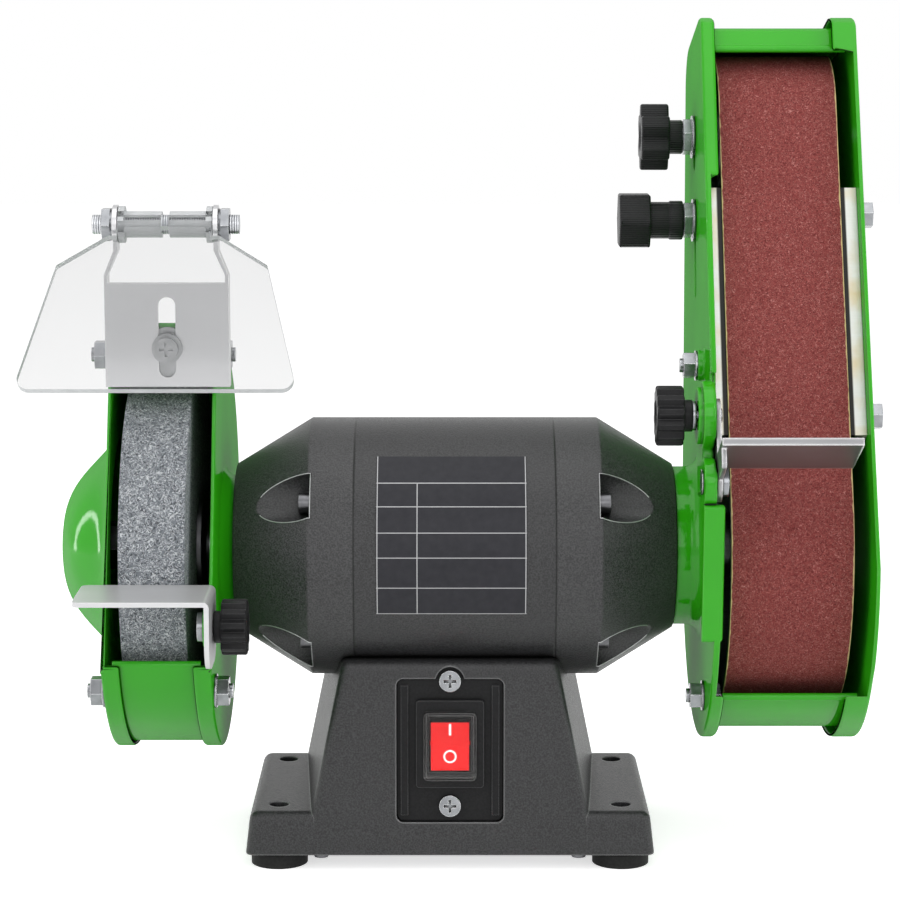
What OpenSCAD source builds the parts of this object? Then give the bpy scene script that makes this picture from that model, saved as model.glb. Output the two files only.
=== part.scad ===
/* [Bench base] */
// Height of the motor axis above the bench
axis_h = 130; // [115:1:150]
// Width of the plinth at its foot
base_w = 172; // [165:1:190]
// Depth of the plinth at its foot
base_d = 102; // [92:1:120]
// Height of the plinth slab
plinth_h = 18; // [12:1:24]
// Draft of the plinth over its height, each side
plinth_draft = 1.5; // [0.5:0.1:3]
// Depth of the pedestal's top edge below the motor axis
pedestal_drop = 41; // [38:1:44]
// Width of the pedestal's front face at its foot
pedestal_foot_w = 117; // [100:1:124]
// Width of the pedestal's front face at its top
pedestal_top_w = 92; // [84:1:98]
// Extra width of the pedestal at its back, each side
pedestal_flare = 6; // [0:0.5:9]
// How far the pedestal's front leans back over its height
pedestal_lean = 5; // [1:0.5:6]
// Rounding of the cast edges
cast_round = 4; // [2:0.5:5]
// Wall of the hollow casting
base_wall = 5; // [4:0.5:7]
// Spacing of the bench bolts along the motor axis
bolt_x = 145; // [138:1:148]
// Spacing of the bench bolts across the motor axis
bolt_y = 72; // [66:1:76]
// Diameter of the bench bolt holes
bolt_hole_d = 8.5; // [6:0.5:10]
// Diameter of the rubber feet
foot_d = 24; // [20:1:26]
// Height of the rubber feet
foot_h = 7; // [5:0.5:10]
// Thickness of the bottom plate
bottom_t = 1.2; // [0.8:0.1:2]

/* [Switch] */
// Width of the switch panel recess
panel_w = 45; // [42:1:50]
// Distance of the recess's upper edge from the pedestal's top
panel_drop = 7; // [6:0.5:9]
// Height of the recess's lower edge above the bench
panel_z = 21; // [20:0.5:23]
// Depth of the recess
panel_recess = 5; // [4:0.5:6]
// Width of the switch bezel
bezel_w = 28.4; // [26:0.2:30]
// Height of the panel above and below the bezel, taken together
bezel_margin = 24; // [22:0.5:26]
// Width of the rocker
rocker_w = 16; // [13:0.5:18]
// Height of the bezel above and below the rocker, taken together
rocker_margin = 15; // [13:0.5:18]
// Angle that the rocker is thrown to each side
rocker_throw = 8; // [5:1:10]

/* [Motor] */
// Diameter of the motor housing
motor_d = 110.4; // [106:0.4:114]
// Length of the motor over both end bells
motor_len = 186.4; // [180:0.4:194]
// Length of the stator housing between the end bells
body_len = 84; // [78:1:90]
// Length of an end bell's straight part
bell_straight = 19; // [15:1:22]
// Diameter of an end bell's end face
bell_end_d = 70.8; // [68:0.4:74]
// Offset of the motor's middle from the base's middle
motor_off = 2; // [0:0.5:4]
// Radius of the scalloped bolt pockets
pocket_r = 10.3; // [9:0.1:11]
// Distance of the pockets from the motor axis
pocket_at = 52; // [51:0.2:53]
// Diameter of the shaft in the rotor
shaft_d = 15; // [13.5:0.5:18]
// Diameter of the shaft's ends
shaft_end_d = 12.7; // [12:0.1:13.4]

/* [Grinding wheel and guard] */
// Diameter of the grinding wheel
wheel_d = 150; // [140:1:152]
// Width of the grinding wheel
wheel_w = 27; // [18:0.5:28]
// Distance of the wheel's middle from the guard's inner plate
wheel_out = 24; // [23:0.5:25]
// Diameter of the wheel's clamping flanges
wheel_flange_d = 46; // [40:1:52]
// Radius of the guard plates
guard_r = 86; // [84:0.5:90]
// Width of the guard over both plates
guard_w = 45; // [44:0.5:47]
// Distance of the guard's inner plate from the motor's end
guard_stand = 5.8; // [5.4:0.2:6.8]
// Thickness of the guard's sheet
guard_sheet = 1.5; // [1:0.1:2]
// Width of the guard's rolled rims
guard_rim = 6; // [4:0.5:8]
// Radius of the cover's dome
dome_r = 52; // [44:0.5:56]
// How far the dome stands out of the cover
dome_out = 24; // [20:0.5:28]

/* [Tool rest] */
// Width of the rest plate
rest_w = 54; // [48:1:56]
// Depth of the rest plate
rest_d = 34; // [28:1:40]
// Thickness of the rest plate
rest_t = 2; // [1.5:0.1:3]
// Gap between the rest and the wheel
rest_gap = 2.5; // [2:0.1:4]
// Height of the rest's top below the axis
rest_drop = 1.5; // [0:0.5:5]
// Height of the rest's side flange
rest_flange_h = 29; // [26:1:34]
// Outer diameter of the star knobs
star_d = 22.5; // [20:0.5:26]

/* [Eye shield] */
// Width of the shield bracket
bracket_w = 51; // [48:0.5:54]
// Height of the shield bracket's plate
bracket_h = 43; // [40:1:46]
// Width of the shield at its lower edge
shield_w = 109; // [100:1:116]
// Length of the shield below its hinge
shield_l = 82; // [72:1:86]
// Thickness of the shield
shield_t = 3; // [2:0.2:4]
// Angle that the shield stands out at rest
shield_tilt = 38; // [20:1:50]
// Diameter of the hinge rod
rod_d = 8; // [6:0.2:8.6]

/* [Sander arm] */
// Length of the abrasive belt
belt_len = 686; // [676:1:700]
// Width of the abrasive belt
belt_w = 50; // [46:0.5:51]
// Thickness of the abrasive belt
belt_t = 1.2; // [0.8:0.1:1.6]
// Distance of the belt's middle from the casting's outer face
belt_out = 32.7; // [32:0.1:33.5]
// Diameter of the drive wheel
drive_d = 134; // [130:0.5:138]
// Diameter of the idler roller
idler_d = 67; // [62:0.5:70]
// Lean of the arm at rest
arm_lean = 15; // [0:1:30]
// Radius of the housing round the drive wheel
arm_r = 82.3; // [80:0.1:85]
// Height of the housing's top above the axis, along the arm
arm_top = 225.8; // [223:0.2:232]
// Half depth of the housing at its top
arm_top_half = 43; // [41:0.5:46]
// Radius of the housing's top corners
arm_corner = 20; // [14:0.5:24]
// Distance of the arm casting from the motor's end
arm_stand = 11.8; // [11.4:0.1:12.2]
// Wall of the arm casting
arm_wall = 2.5; // [2:0.1:3]
// Width of the arm over its casting and cover
arm_w = 66.3; // [66:0.1:68]
// Sheet of the arm's cover and wrap strip
arm_sheet = 1.5; // [1:0.1:2]
// Width of the arm's rims
arm_rim = 3.5; // [3:0.1:5]
// Travel of the belt tensioner
tension_travel = 10; // [6:0.5:12]

/* [Work table] */
// Width of the work table
table_w = 56; // [50:1:57]
// Depth of the work table
table_d = 42; // [32:1:46]
// Thickness of the work table
table_t = 3; // [2:0.2:4]
// Gap between the work table and the belt
table_gap = 3; // [2.6:0.1:5]
// Angle that the work table tilts to each side
table_swing = 12; // [6:1:14]

/* [Hidden] */
$fn = 72;

// Gaps shared by the pieces
slide_gap = 0.3;
run_fit = 0.05;
over = 1;

// Colours
charcoal = [0.16, 0.16, 0.17];
black_plastic = [0.07, 0.07, 0.08];
green = [0.17, 0.62, 0.12];
zinc = [0.72, 0.74, 0.77];
steel = [0.62, 0.63, 0.65];
copper = [0.65, 0.36, 0.18];
clear = [0.9, 0.93, 0.95, 0.35];

// Outline drawn in Y and Z, pushed out along X from x0 to x1
module along_x(x0, x1) {
    translate([x0, 0, 0]) rotate([90, 0, 90]) linear_extrude(x1 - x0) children();
}

// Outline drawn in X and Z, pushed out along Y from y0 to y1
module along_y(y0, y1) {
    translate([0, y1, 0]) rotate([90, 0, 0]) linear_extrude(y1 - y0) children();
}

// Half section drawn as radius and place along X, turned about the X axis
module around_x() {
    rotate([0, 90, 0]) rotate_extrude($fn = 128) children();
}

module on_axis() {
    translate([0, 0, axis_h]) children();
}

module on_arm() {
    on_axis() rotate([-arm_lean, 0, 0]) children();
}

module round_rect(w, h, r) {
    square([w - 2 * r, h], center = true);
    square([w, h - 2 * r], center = true);
    for (x = [-1, 1], y = [-1, 1]) {
        translate([x * (w / 2 - r), y * (h / 2 - r)]) circle(r);
    }
}

module slot(p, q, w) {
    d = q - p;
    for (c = [p, q]) translate(c) circle(d = w);
    translate((p + q) / 2) rotate(atan2(d.y, d.x)) square([norm(d), w - 2 * weld], center = true);
}

// Outer tangent points of two circles [y, z, r], on the right hand going from a to b,
// set a hair inside the circles so that straight and round walls cross cleanly
weld = 0.004;
function side(a, b) =
    let (v = [b.x - a.x, b.y - a.y], l = norm(v), d = v / l, k = (a.z - b.z) / l)
    let (n = d * k + [d.y, -d.x] * sqrt(1 - k * k))
    [[a.x, a.y] + (a.z - weld) * n, [b.x, b.y] + (b.z - weld) * n];

// Band drawn tight round circles [y, z, r], listed anticlockwise
module band_round(circles) {
    count = len(circles);
    for (c = circles) translate([c.x, c.y]) circle(c.z, $fn = 128);
    polygon([for (i = [0 : count - 1]) each side(circles[i], circles[(i + 1) % count])]);
}

// Everything in front of a line at distance d from the axis, its normal turned up by angle a
module ahead_of(d, a) {
    reach = 400;
    rotate(-a) translate([-d - reach, -reach]) square([reach, 2 * reach]);
}

// Wedge between two angles of the Y and Z plane
module wedge(from, to) {
    reach = 400;
    step = (to - from) / 8;
    polygon([[0, 0], for (i = [0 : 8]) reach * [cos(from + step * i), sin(from + step * i)]]);
}

module hex_prism(af, x0, x1) {
    along_x(x0, x1) circle(d = af / cos(30), $fn = 6);
}

module washer(d, bore, x0, x1) {
    along_x(x0, x1) difference() {
        circle(d = d);
        circle(d = bore);
    }
}

module nut(af, bore, x0, x1) {
    difference() {
        hex_prism(af, x0, x1);
        along_x(x0 - over, x1 + over) circle(d = bore);
    }
}

// Cross recess of a screw head, cut along -Y from the face at y0
cross_w = 1.2;
module cross_recess(l, y0, depth) {
    along_y(y0 - over, y0 + depth) {
        square([l, cross_w], center = true);
        square([cross_w, l], center = true);
    }
}

// Lobed grip outline
grip_lobes = 12;
lobe_notch = 0.7;
notch_share = 0.35;
module star_outline(d, lobes) {
    notch = lobe_notch * d / lobes;
    difference() {
        circle(d = d);
        for (i = [0 : lobes - 1]) {
            rotate((i + 0.5) * 360 / lobes) translate([d / 2 + notch_share * notch, 0])
                circle(notch, $fn = 24);
        }
    }
}

// Star knob with its collar: tip, shoulder and collar end along X, bored for a stud
knob_collar_d = 13;
knob_dish = 2;
knob_web = 2;
module star_knob(d, lobes, x_tip, x_shoulder, x_end, bore) {
    difference() {
        union() {
            along_x(min(x_tip, x_shoulder), max(x_tip, x_shoulder)) star_outline(d, lobes);
            along_x(min(x_shoulder, x_end), max(x_shoulder, x_end)) circle(d = knob_collar_d);
        }
        dish_to = x_tip + sign(x_shoulder - x_tip) * knob_dish;
        along_x(min(x_tip - over, dish_to), max(x_tip + over, dish_to)) circle(d = d / 2);
        bore_to = x_tip + sign(x_shoulder - x_tip) * (knob_dish + knob_web);
        bore_from = x_end + sign(x_end - x_tip) * over;
        along_x(min(bore_to, bore_from), max(bore_to, bore_from)) circle(d = bore);
    }
}

// Bench base: front face, saddle and hollow
pedestal_top = axis_h - pedestal_drop;
panel_h = pedestal_top - panel_drop - panel_z;
bezel_h = panel_h - bezel_margin;
rocker_h = bezel_h - rocker_margin;
plinth_top = foot_h + plinth_h;
front_angle = atan(pedestal_lean / (pedestal_top - foot_h));
motor_r = motor_d / 2;
seat_gap = 0.05;
cavity_top = axis_h - motor_r - base_wall - 1;
gland_x = 38;
gland_z = 45;
gland_d = 14;
mount_screw_x = 26;
mount_screw_d = 5;
function front_y(z) = -base_d / 2 + pedestal_lean * (z - foot_h) / (pedestal_top - foot_h);
side_slope = (pedestal_top_w - pedestal_foot_w) / (pedestal_top - plinth_top);
function half_w(z) = (pedestal_foot_w + side_slope * (z - plinth_top)) / 2;

// Drafted and rounded slab that the pedestal stands on
module plinth() {
    hull() {
        for (x = [-1, 1], y = [-1, 1]) {
            translate([x * (base_w / 2 - cast_round), y * (base_d / 2 - cast_round), foot_h])
                cylinder(r = cast_round, h = 1, $fn = 32);
            translate([
                x * (base_w / 2 - plinth_draft - cast_round),
                y * (base_d / 2 - plinth_draft - cast_round),
                plinth_top - cast_round
            ]) sphere(cast_round, $fn = 32);
        }
    }
}

// Tapered pedestal between two levels, drawn in by inset on all sides
module pedestal(z0, z1, inset, r) {
    hull() {
        for (x = [-1, 1], y = [-1, 1], z = [z0, z1]) {
            flare = y > 0 ? pedestal_flare : 0;
            drop = z == z1 ? r : 0;
            translate([x * (half_w(z) + flare - inset - r), -y * (front_y(z) + inset + r), z - drop])
                sphere(r, $fn = 24);
        }
    }
}

module on_switch() {
    on_front(panel_mid) translate([0, 0, switch_up]) children();
}

module on_front(z) {
    translate([0, front_y(z), z]) rotate([-front_angle, 0, 0]) children();
}

panel_mid = panel_z + panel_h / 2;
switch_up = 3;
panel_t = 3;
panel_fit = 0.4;
panel_corner = 3;
screw_tab_r = 6;
lower_screw = 7;
switch_w = 22;
switch_h = bezel_h - 7;
switch_depth = 20;

module switch_opening() {
    square([switch_w + 2 * panel_fit, switch_h + 2 * panel_fit], center = true);
}

module at_bolts() {
    for (x = [-1, 1], y = [-1, 1]) translate([x * bolt_x / 2, y * bolt_y / 2, 0]) children();
}

module panel_outline(fit) {
    round_rect(panel_w - 2 * fit, panel_h - 2 * fit, panel_corner);
    translate([0, panel_h / 2 - 1]) circle(screw_tab_r - fit);
}

module at_panel_screws() {
    for (z = [panel_h / 2 - 1, lower_screw - panel_h / 2]) translate([0, 0, z]) children();
}

bottom_half_w = bolt_x / 2 - foot_d / 2 - 1.5;
bottom_half_d = base_d / 2 - 5;
bottom_screw_d = 3;
bottom_screw_in = 4.5;
module at_bottom_screws() {
    for (x = [-1, 1], y = [-1, 1]) {
        translate([x * (bottom_half_w - bottom_screw_in), y * (bottom_half_d - bottom_screw_in), foot_h])
            children();
    }
}

module base_casting() {
    color(charcoal) difference() {
        union() {
            plinth();
            intersection() {
                pedestal(foot_h - cast_round, pedestal_top, 0, cast_round);
                translate([-base_w, -base_d, foot_h]) cube([2 * base_w, 2 * base_d, axis_h]);
            }
        }
        pedestal(foot_h - 2 * over, cavity_top, base_wall + panel_recess, 1);
        on_axis() along_x(-base_w, base_w) circle(motor_r + seat_gap, $fn = 128);
        at_bolts() cylinder(d = bolt_hole_d, h = axis_h);
        on_front(panel_mid) {
            along_y(-2 * base_wall, panel_recess) panel_outline(0);
            at_panel_screws() along_y(panel_recess - over, panel_recess + screw_hold)
                circle(d = panel_screw_d);
        }
        on_switch() along_y(0, panel_face + switch_depth + over) switch_opening();
        translate([gland_x, 0, gland_z]) along_y(0, base_d) circle(d = gland_d);
        for (x = [-1, 1]) {
            translate([motor_off + x * mount_screw_x, 0, cavity_top - over])
                cylinder(d = mount_screw_d + 2 * run_fit, h = axis_h);
        }
        at_bottom_screws() cylinder(d = bottom_screw_d, h = bottom_screw_l);
    }
}

module rubber_feet() {
    color(black_plastic) at_bolts() difference() {
        union() {
            cylinder(d = foot_d, h = foot_h - foot_lip);
            translate([0, 0, foot_h - foot_lip]) cylinder(d = foot_d - 2, h = foot_lip);
        }
        translate([0, 0, -over]) cylinder(d = bolt_hole_d, h = foot_h + 2 * over);
    }
}
foot_lip = 1;
bottom_screw_l = 8;
panel_screw_d = 4;
screw_hold = 5;

module bottom_plate() {
    color(zinc) translate([0, 0, foot_h - bottom_t]) difference() {
        linear_extrude(bottom_t) round_rect(2 * bottom_half_w, 2 * bottom_half_d, cast_round);
        for (x = [-1, 1], y = [-1, 1]) {
            translate([x * (bottom_half_w - bottom_screw_in), y * (bottom_half_d - bottom_screw_in), -over])
                cylinder(d = bottom_screw_d + 2 * slide_gap, h = bottom_t + 2 * over);
        }
    }
}

module bottom_screws() {
    head_h = 2;
    color(steel) at_bottom_screws() {
        translate([0, 0, -bottom_t - head_h]) cylinder(d = 2 * bottom_screw_d, h = head_h);
        translate([0, 0, -bottom_t - head_h / 2])
            cylinder(d = bottom_screw_d - 2 * run_fit, h = bottom_screw_l + bottom_t + head_h / 2 - over);
    }
}

// Switch group, set square to the sloping front face; y = 0 is that face
panel_face = panel_recess - panel_t;
bezel_t = 3;
bezel_face = panel_face - bezel_t;
ridge_w = 3;
ridge_h = 1.5;
rocker_gap = 0.8;
rocker_depth = 9;
rocker_pivot = 3;
module switch_panel() {
    color(black_plastic) on_front(panel_mid) difference() {
        union() {
            along_y(panel_face, panel_recess) panel_outline(panel_fit);
            for (x = [-1, 1]) {
                translate([x * (panel_w / 2 - panel_fit - ridge_w), 0, 0])
                    along_y(panel_face - ridge_h, panel_face + over / 2)
                    square([ridge_w, panel_h - 2 * panel_corner], center = true);
            }
        }
        translate([0, 0, switch_up]) along_y(0, panel_recess + over) switch_opening();
        at_panel_screws() along_y(panel_face - over, panel_recess + over)
            circle(d = panel_screw_d + 2 * slide_gap);
    }
}

module panel_screws() {
    head_d = 9;
    head_h = 2.4;
    color(zinc) on_front(panel_mid) at_panel_screws() difference() {
        union() {
            along_y(panel_face - head_h, panel_face) circle(d = head_d);
            along_y(panel_face - head_h / 2, panel_recess + screw_hold - over / 2)
                circle(d = panel_screw_d - 2 * run_fit);
        }
        cross_recess(head_d * 0.6, panel_face - head_h, head_h / 2);
    }
}

module switch_body() {
    color(black_plastic) on_switch() difference() {
        union() {
            along_y(bezel_face, panel_face) round_rect(bezel_w, bezel_h, 1.5);
            along_y(panel_face - over, panel_face + switch_depth)
                square([switch_w, switch_h], center = true);
        }
        along_y(bezel_face - over, bezel_face + rocker_depth + 3)
            square([rocker_w + 2 * rocker_gap, rocker_h + 2 * rocker_gap], center = true);
    }
}

// Rocker: two faces that meet at a shallow angle over its pivot, thrown to the off side at rest
module switch_rocker() {
    half = rocker_h / 2 - 0.4;
    color([0.8, 0.08, 0.06]) on_switch() translate([0, bezel_face + rocker_pivot, 0])
        rotate([rocker_throw, 0, 0]) {
        along_x(-rocker_w / 2, rocker_w / 2) intersection() {
            polygon([
                [-rocker_pivot, 0],
                [-rocker_pivot - half * tan(rocker_throw), half],
                [rocker_depth - rocker_pivot - half * tan(rocker_throw), half * 0.7],
                [rocker_depth - rocker_pivot - half * tan(rocker_throw), -half * 0.7],
                [-rocker_pivot - half * tan(rocker_throw), -half]
            ]);
            circle(half + 1, $fn = 96);
        }
        along_x(-rocker_w / 2 - pivot_pin, rocker_w / 2 + pivot_pin) circle(1);
    }
}
pivot_pin = 0.5;

// Clear splash cap that snaps over the rocker
cap_w = 22;
cap_h = bezel_h - 8.5;
cap_out = 6;
cap_wall = 1;
module switch_cover() {
    color(clear) on_switch() difference() {
        along_y(bezel_face - cap_out, bezel_face) round_rect(cap_w, cap_h, 2);
        along_y(bezel_face - cap_out + cap_wall, bezel_face + over)
            round_rect(cap_w - 2 * cap_wall, cap_h - 2 * cap_wall, 1);
    }
}

// Threaded cable gland in the back wall, its bore left open
module cable_gland() {
    wall_y = -front_y(gland_z);
    gland_bore = 8;
    color(black_plastic) translate([gland_x, wall_y, gland_z]) difference() {
        union() {
            along_y(-base_wall - panel_recess - 4, 1) circle(d = gland_d - 2 * run_fit);
            along_y(0.5, 6) circle(d = gland_d + 6, $fn = 6);
            along_y(6 - over / 2, 11) circle(d = gland_d + 1);
        }
        along_y(-base_d, base_d) circle(d = gland_bore);
    }
}

module capacitor() {
    cap_d = 30;
    cap_l = 56;
    color([0.75, 0.76, 0.78]) translate([-cap_l / 2, 12, foot_h + cap_d / 2]) {
        along_x(0, cap_l) circle(d = cap_d);
        along_x(cap_l - over, cap_l + 4) circle(d = cap_d * 0.4);
    }
}

// Motor: places along X
body_half = body_len / 2;
bell_shoulder = body_half + bell_straight;
motor_half = motor_len / 2;
bell_end_r = bell_end_d / 2;
housing_wall = 5;
core_r = motor_r - housing_wall - seat_gap;
bore_gap = 0.4;
rotor_r = 31;
core_len = 48;
bearing_d = 35;
bearing_w = 11;
bearing_inset = 13.2;
bearing_at = motor_half - bearing_inset;
shaft_hole_r = shaft_d / 2 + 1.5;
tie_bolt_d = 5;
tie_bolt_at = 46.3;
tie_head_d = 8.5;
tie_head_h = 5;
tie_angles = [33, 147, 227, -47];
boss_r = 30;
left_end_x = motor_off - motor_half;
right_end_x = motor_off + motor_half;
guard_in_x = left_end_x - guard_stand;
guard_out_x = guard_in_x - guard_w;
wheel_x = guard_in_x - wheel_out;
arm_x = right_end_x + arm_stand;
cover_x = arm_x + arm_w;
belt_x = arm_x + belt_out;
boss_end = arm_x + arm_wall + slide_gap;
washer_t = 1;
bell_inner = 8;
bearing_lip = 2;
coil_out = 42;
coil_len = 11;

module on_motor() {
    on_axis() translate([motor_off, 0, 0]) children();
}

// Angles are measured from the front of the motor, upwards
module at_tie_bolts(r) {
    for (a = tie_angles) rotate([-a, 0, 0]) translate([0, -r, 0]) children();
}

module stator_housing() {
    color(charcoal) on_motor() difference() {
        along_x(-body_half, body_half) circle(motor_r, $fn = 128);
        along_x(-body_half - over, body_half + over) circle(motor_r - housing_wall, $fn = 128);
        for (x = [-1, 1]) {
            translate([x * mount_screw_x, 0, -motor_r - over])
                cylinder(d = mount_screw_d, h = housing_wall + 2 * over);
        }
    }
}

// End bell seen as a half section: straight rim, cone, bearing seat and shaft hole
module bell_section(boss) {
    difference() {
        polygon([
            [0, body_half], [motor_r, body_half], [motor_r, bell_shoulder], [bell_end_r, motor_half],
            [boss_r, motor_half], [boss_r, motor_half + boss], [0, motor_half + boss]
        ]);
        polygon([
            [0, body_half - over], [motor_r - housing_wall, body_half - over],
            [motor_r - housing_wall, body_half + bell_inner],
            [bearing_d / 2 + housing_wall, bearing_at - bearing_lip],
            [bearing_d / 2 + housing_wall, bearing_at - over], [0, bearing_at - over]
        ]);
        translate([0, bearing_at - 2 * over]) square([bearing_d / 2 + run_fit, bearing_w + 2 * over]);
        square([shaft_hole_r, motor_half + boss + over]);
    }
}

module end_bell(boss) {
    difference() {
        around_x() bell_section(boss);
        at_tie_bolts(pocket_at) along_x(bell_shoulder - 1, motor_half + boss + over) circle(pocket_r);
        at_tie_bolts(tie_bolt_at) along_x(body_half - over, motor_half)
            circle(d = tie_bolt_d + 2 * run_fit);
    }
}

module left_end_bell() {
    color(charcoal) on_motor() mirror([1, 0, 0]) difference() {
        end_bell(0);
        at_guard_screws() along_x(motor_half - guard_screw_l, motor_half + over) circle(d = guard_screw_d);
    }
}

module right_end_bell() {
    color(charcoal) on_motor() difference() {
        end_bell(boss_end - right_end_x);
        at_clamp_screws() along_x(motor_half - over, boss_end - motor_off + over) circle(d = clamp_screw_d);
    }
}

// Long bolts that draw the end bells together, with a head in each pocket
module tie_bolts() {
    color(steel) on_motor() at_tie_bolts(tie_bolt_at) {
        along_x(-bell_shoulder, bell_shoulder) circle(d = tie_bolt_d - 2 * run_fit);
        for (x = [-1, 1]) flip(x) {
            along_x(bell_shoulder - 1, bell_shoulder - 1 + tie_head_h) difference() {
                circle(d = tie_head_d);
                circle(d = tie_bolt_d, $fn = 6);
            }
        }
    }
}

module motor_mount_screws() {
    head_h = 3;
    reach = head_h + axis_h - motor_r - cavity_top + housing_wall - over;
    color(steel) for (x = [-1, 1]) {
        translate([motor_off + x * mount_screw_x, 0, cavity_top - head_h]) {
            cylinder(d = 1.8 * mount_screw_d, h = head_h);
            cylinder(d = mount_screw_d - 2 * run_fit, h = reach);
        }
    }
}

module stator_core() {
    color(steel) on_motor() difference() {
        along_x(-core_len / 2, core_len / 2) difference() {
            circle(core_r, $fn = 128);
            circle(rotor_r + bore_gap, $fn = 128);
        }
        at_tie_bolts(tie_bolt_at + 2) along_x(-core_len, core_len) circle(d = tie_bolt_d + 4);
    }
}

module windings() {
    coil_in = rotor_r + 3;
    color(copper) on_motor() for (x = [-1, 1]) flip(x) {
        around_x() translate([(coil_out + coil_in) / 2, core_len / 2]) {
            translate([0, coil_len / 2]) square([coil_out - coil_in, coil_len], center = true);
            translate([0, coil_len]) circle((coil_out - coil_in) / 2, $fn = 48);
        }
    }
}

module rotor_core() {
    end_ring = 5;
    color(steel) on_motor() along_x(-core_len / 2 - end_ring, core_len / 2 + end_ring) difference() {
        circle(rotor_r, $fn = 128);
        circle(d = shaft_d);
    }
}

module ball_bearings() {
    color(steel) on_motor() for (x = [-1, 1]) flip(x) {
        around_x() difference() {
            translate([shaft_d / 2 + run_fit, bearing_at - over])
                square([bearing_d / 2 - shaft_d / 2 - run_fit, bearing_w]);
            for (end = [0, bearing_w]) {
                translate([(shaft_d + bearing_d) / 4, bearing_at - over + end])
                    circle(bearing_d / 12, $fn = 32);
            }
        }
    }
}

// Rotating group on the grinder side, places along X
flange_t = 4;
wheel_in_x = wheel_x + wheel_w / 2;
wheel_out_x = wheel_x - wheel_w / 2;
shoulder_x = wheel_in_x + flange_t;
wheel_nut_t = 8;
wheel_nut_af = 19;
shaft_left_x = wheel_out_x - flange_t - wheel_nut_t - 3;
// Rotating group on the sander side, places along X
drive_w = belt_w - 0.5;
drive_in_x = belt_x - drive_w / 2;
drive_out_x = belt_x + drive_w / 2;
drive_hub_l = 34;
drive_nut_x = drive_in_x + drive_hub_l;
shaft_right_x = drive_nut_x + wheel_nut_t + 3;

module motor_shaft() {
    color(steel) on_axis() {
        along_x(shoulder_x, drive_in_x) circle(d = shaft_d);
        along_x(shaft_left_x, shaft_right_x) circle(d = shaft_end_d);
    }
}

module grinding_wheel() {
    color([0.42, 0.43, 0.46]) on_axis() along_x(wheel_out_x, wheel_in_x) difference() {
        circle(d = wheel_d, $fn = 160);
        circle(d = shaft_end_d + 2 * run_fit);
    }
}

// Dished steel flanges, relieved round the shaft so that they grip near their rims
module wheel_flanges() {
    relief = 0.8;
    chamfer = 5;
    grip_w = 7;
    color(steel) on_axis() for (end = [[wheel_in_x, 1], [wheel_out_x, -1]]) {
        translate([end.x, 0, 0]) flip(end.y) around_x() difference() {
            polygon([
                [0, 0], [wheel_flange_d / 2, 0], [wheel_flange_d / 2, flange_t * 0.5],
                [wheel_flange_d / 2 - chamfer, flange_t], [0, flange_t]
            ]);
            square([shaft_end_d / 2 + run_fit, 3 * flange_t]);
            translate([0, -over]) square([wheel_flange_d / 2 - grip_w, relief + over]);
        }
    }
}

module wheel_nut() {
    color(zinc) on_axis()
        nut(wheel_nut_af, shaft_end_d, wheel_out_x - flange_t - wheel_nut_t, wheel_out_x - flange_t);
}

module drive_nut() {
    color(zinc) on_axis() nut(wheel_nut_af, shaft_end_d, drive_nut_x, drive_nut_x + wheel_nut_t);
}

// Cast drive wheel: crowned rim on a web with round lightening holes
module drive_wheel() {
    rim_t = 6;
    web_t = 6;
    hub_r = 14;
    holes = 6;
    hole_r = 9;
    drive_r = drive_d / 2;
    color([0.55, 0.56, 0.58]) on_axis() difference() {
        around_x() {
            translate([drive_r - rim_t, drive_in_x]) square([rim_t, drive_w]);
            translate([hub_r - over, drive_in_x + drive_hub_l / 2])
                square([drive_r - rim_t - hub_r + 2 * over, web_t]);
            translate([shaft_end_d / 2 + run_fit, drive_in_x])
                square([hub_r - shaft_end_d / 2 - run_fit, drive_hub_l]);
        }
        for (i = [0 : holes - 1]) {
            rotate([i * 360 / holes, 0, 0]) translate([0, 0, (drive_r - rim_t + hub_r) / 2])
                along_x(drive_in_x, drive_out_x) circle(hole_r);
        }
    }
}

// Mirrored copy along X for the pieces on the left
module flip(x) {
    mirror([x < 0 ? 1 : 0, 0, 0]) children();
}

// Grinder guard: the opening is a chord, its normal tipped up from the front
open_dist = 58.8;
open_tip = 20.6;
strip_r = guard_r - 2.2;
strip_t = 1.2;
strip_from = 205.5;
strip_to = 112;
rim_to = 107;
lip_in = 3;
lip_r = 1.6;
guard_gap_x = [guard_out_x + guard_sheet, guard_in_x - guard_sheet];
guard_mid_x = (guard_gap_x[0] + guard_gap_x[1]) / 2;
guard_bolt_d = 6;
guard_nut_af = 11;
guard_nut_t = 5;
guard_washer_d = 14;
upper_bolt = [-26, 86];
lower_bolt = [-60.5, -49.5];
lug_r = 7;
lug_roots = [[-40, 50], [10, 50]];
guard_screw_d = 5;
guard_screw_l = 10;
guard_screw_at = 26;
collar_bore = 20;
collar_foot_r = 30;

module at_guard_screws() {
    for (a = [90, 210, 330]) rotate([a, 0, 0]) translate([0, guard_screw_at, 0]) children();
}

module at_guard_bolts() {
    for (p = [upper_bolt, lower_bolt]) translate([0, p.x, p.y]) children();
}

// Outline shared by both guard plates, with the lug for the upper bolt
module guard_outline() {
    difference() {
        circle(guard_r, $fn = 160);
        ahead_of(open_dist, open_tip);
    }
    difference() {
        band_round([for (p = [upper_bolt, each lug_roots]) [p.x, p.y, lug_r]]);
        ahead_of(open_dist, open_tip);
        circle(wheel_d / 2, $fn = 160);
    }
    translate(upper_bolt) circle(lug_r);
}

// Rolled rim that stops at the guard's opening
module guard_rim_ring(x0, x1) {
    along_x(x0, x1) difference() {
        circle(guard_r, $fn = 160);
        circle(guard_r - guard_sheet, $fn = 160);
        wedge(rim_to, strip_from - over);
    }
}

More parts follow.
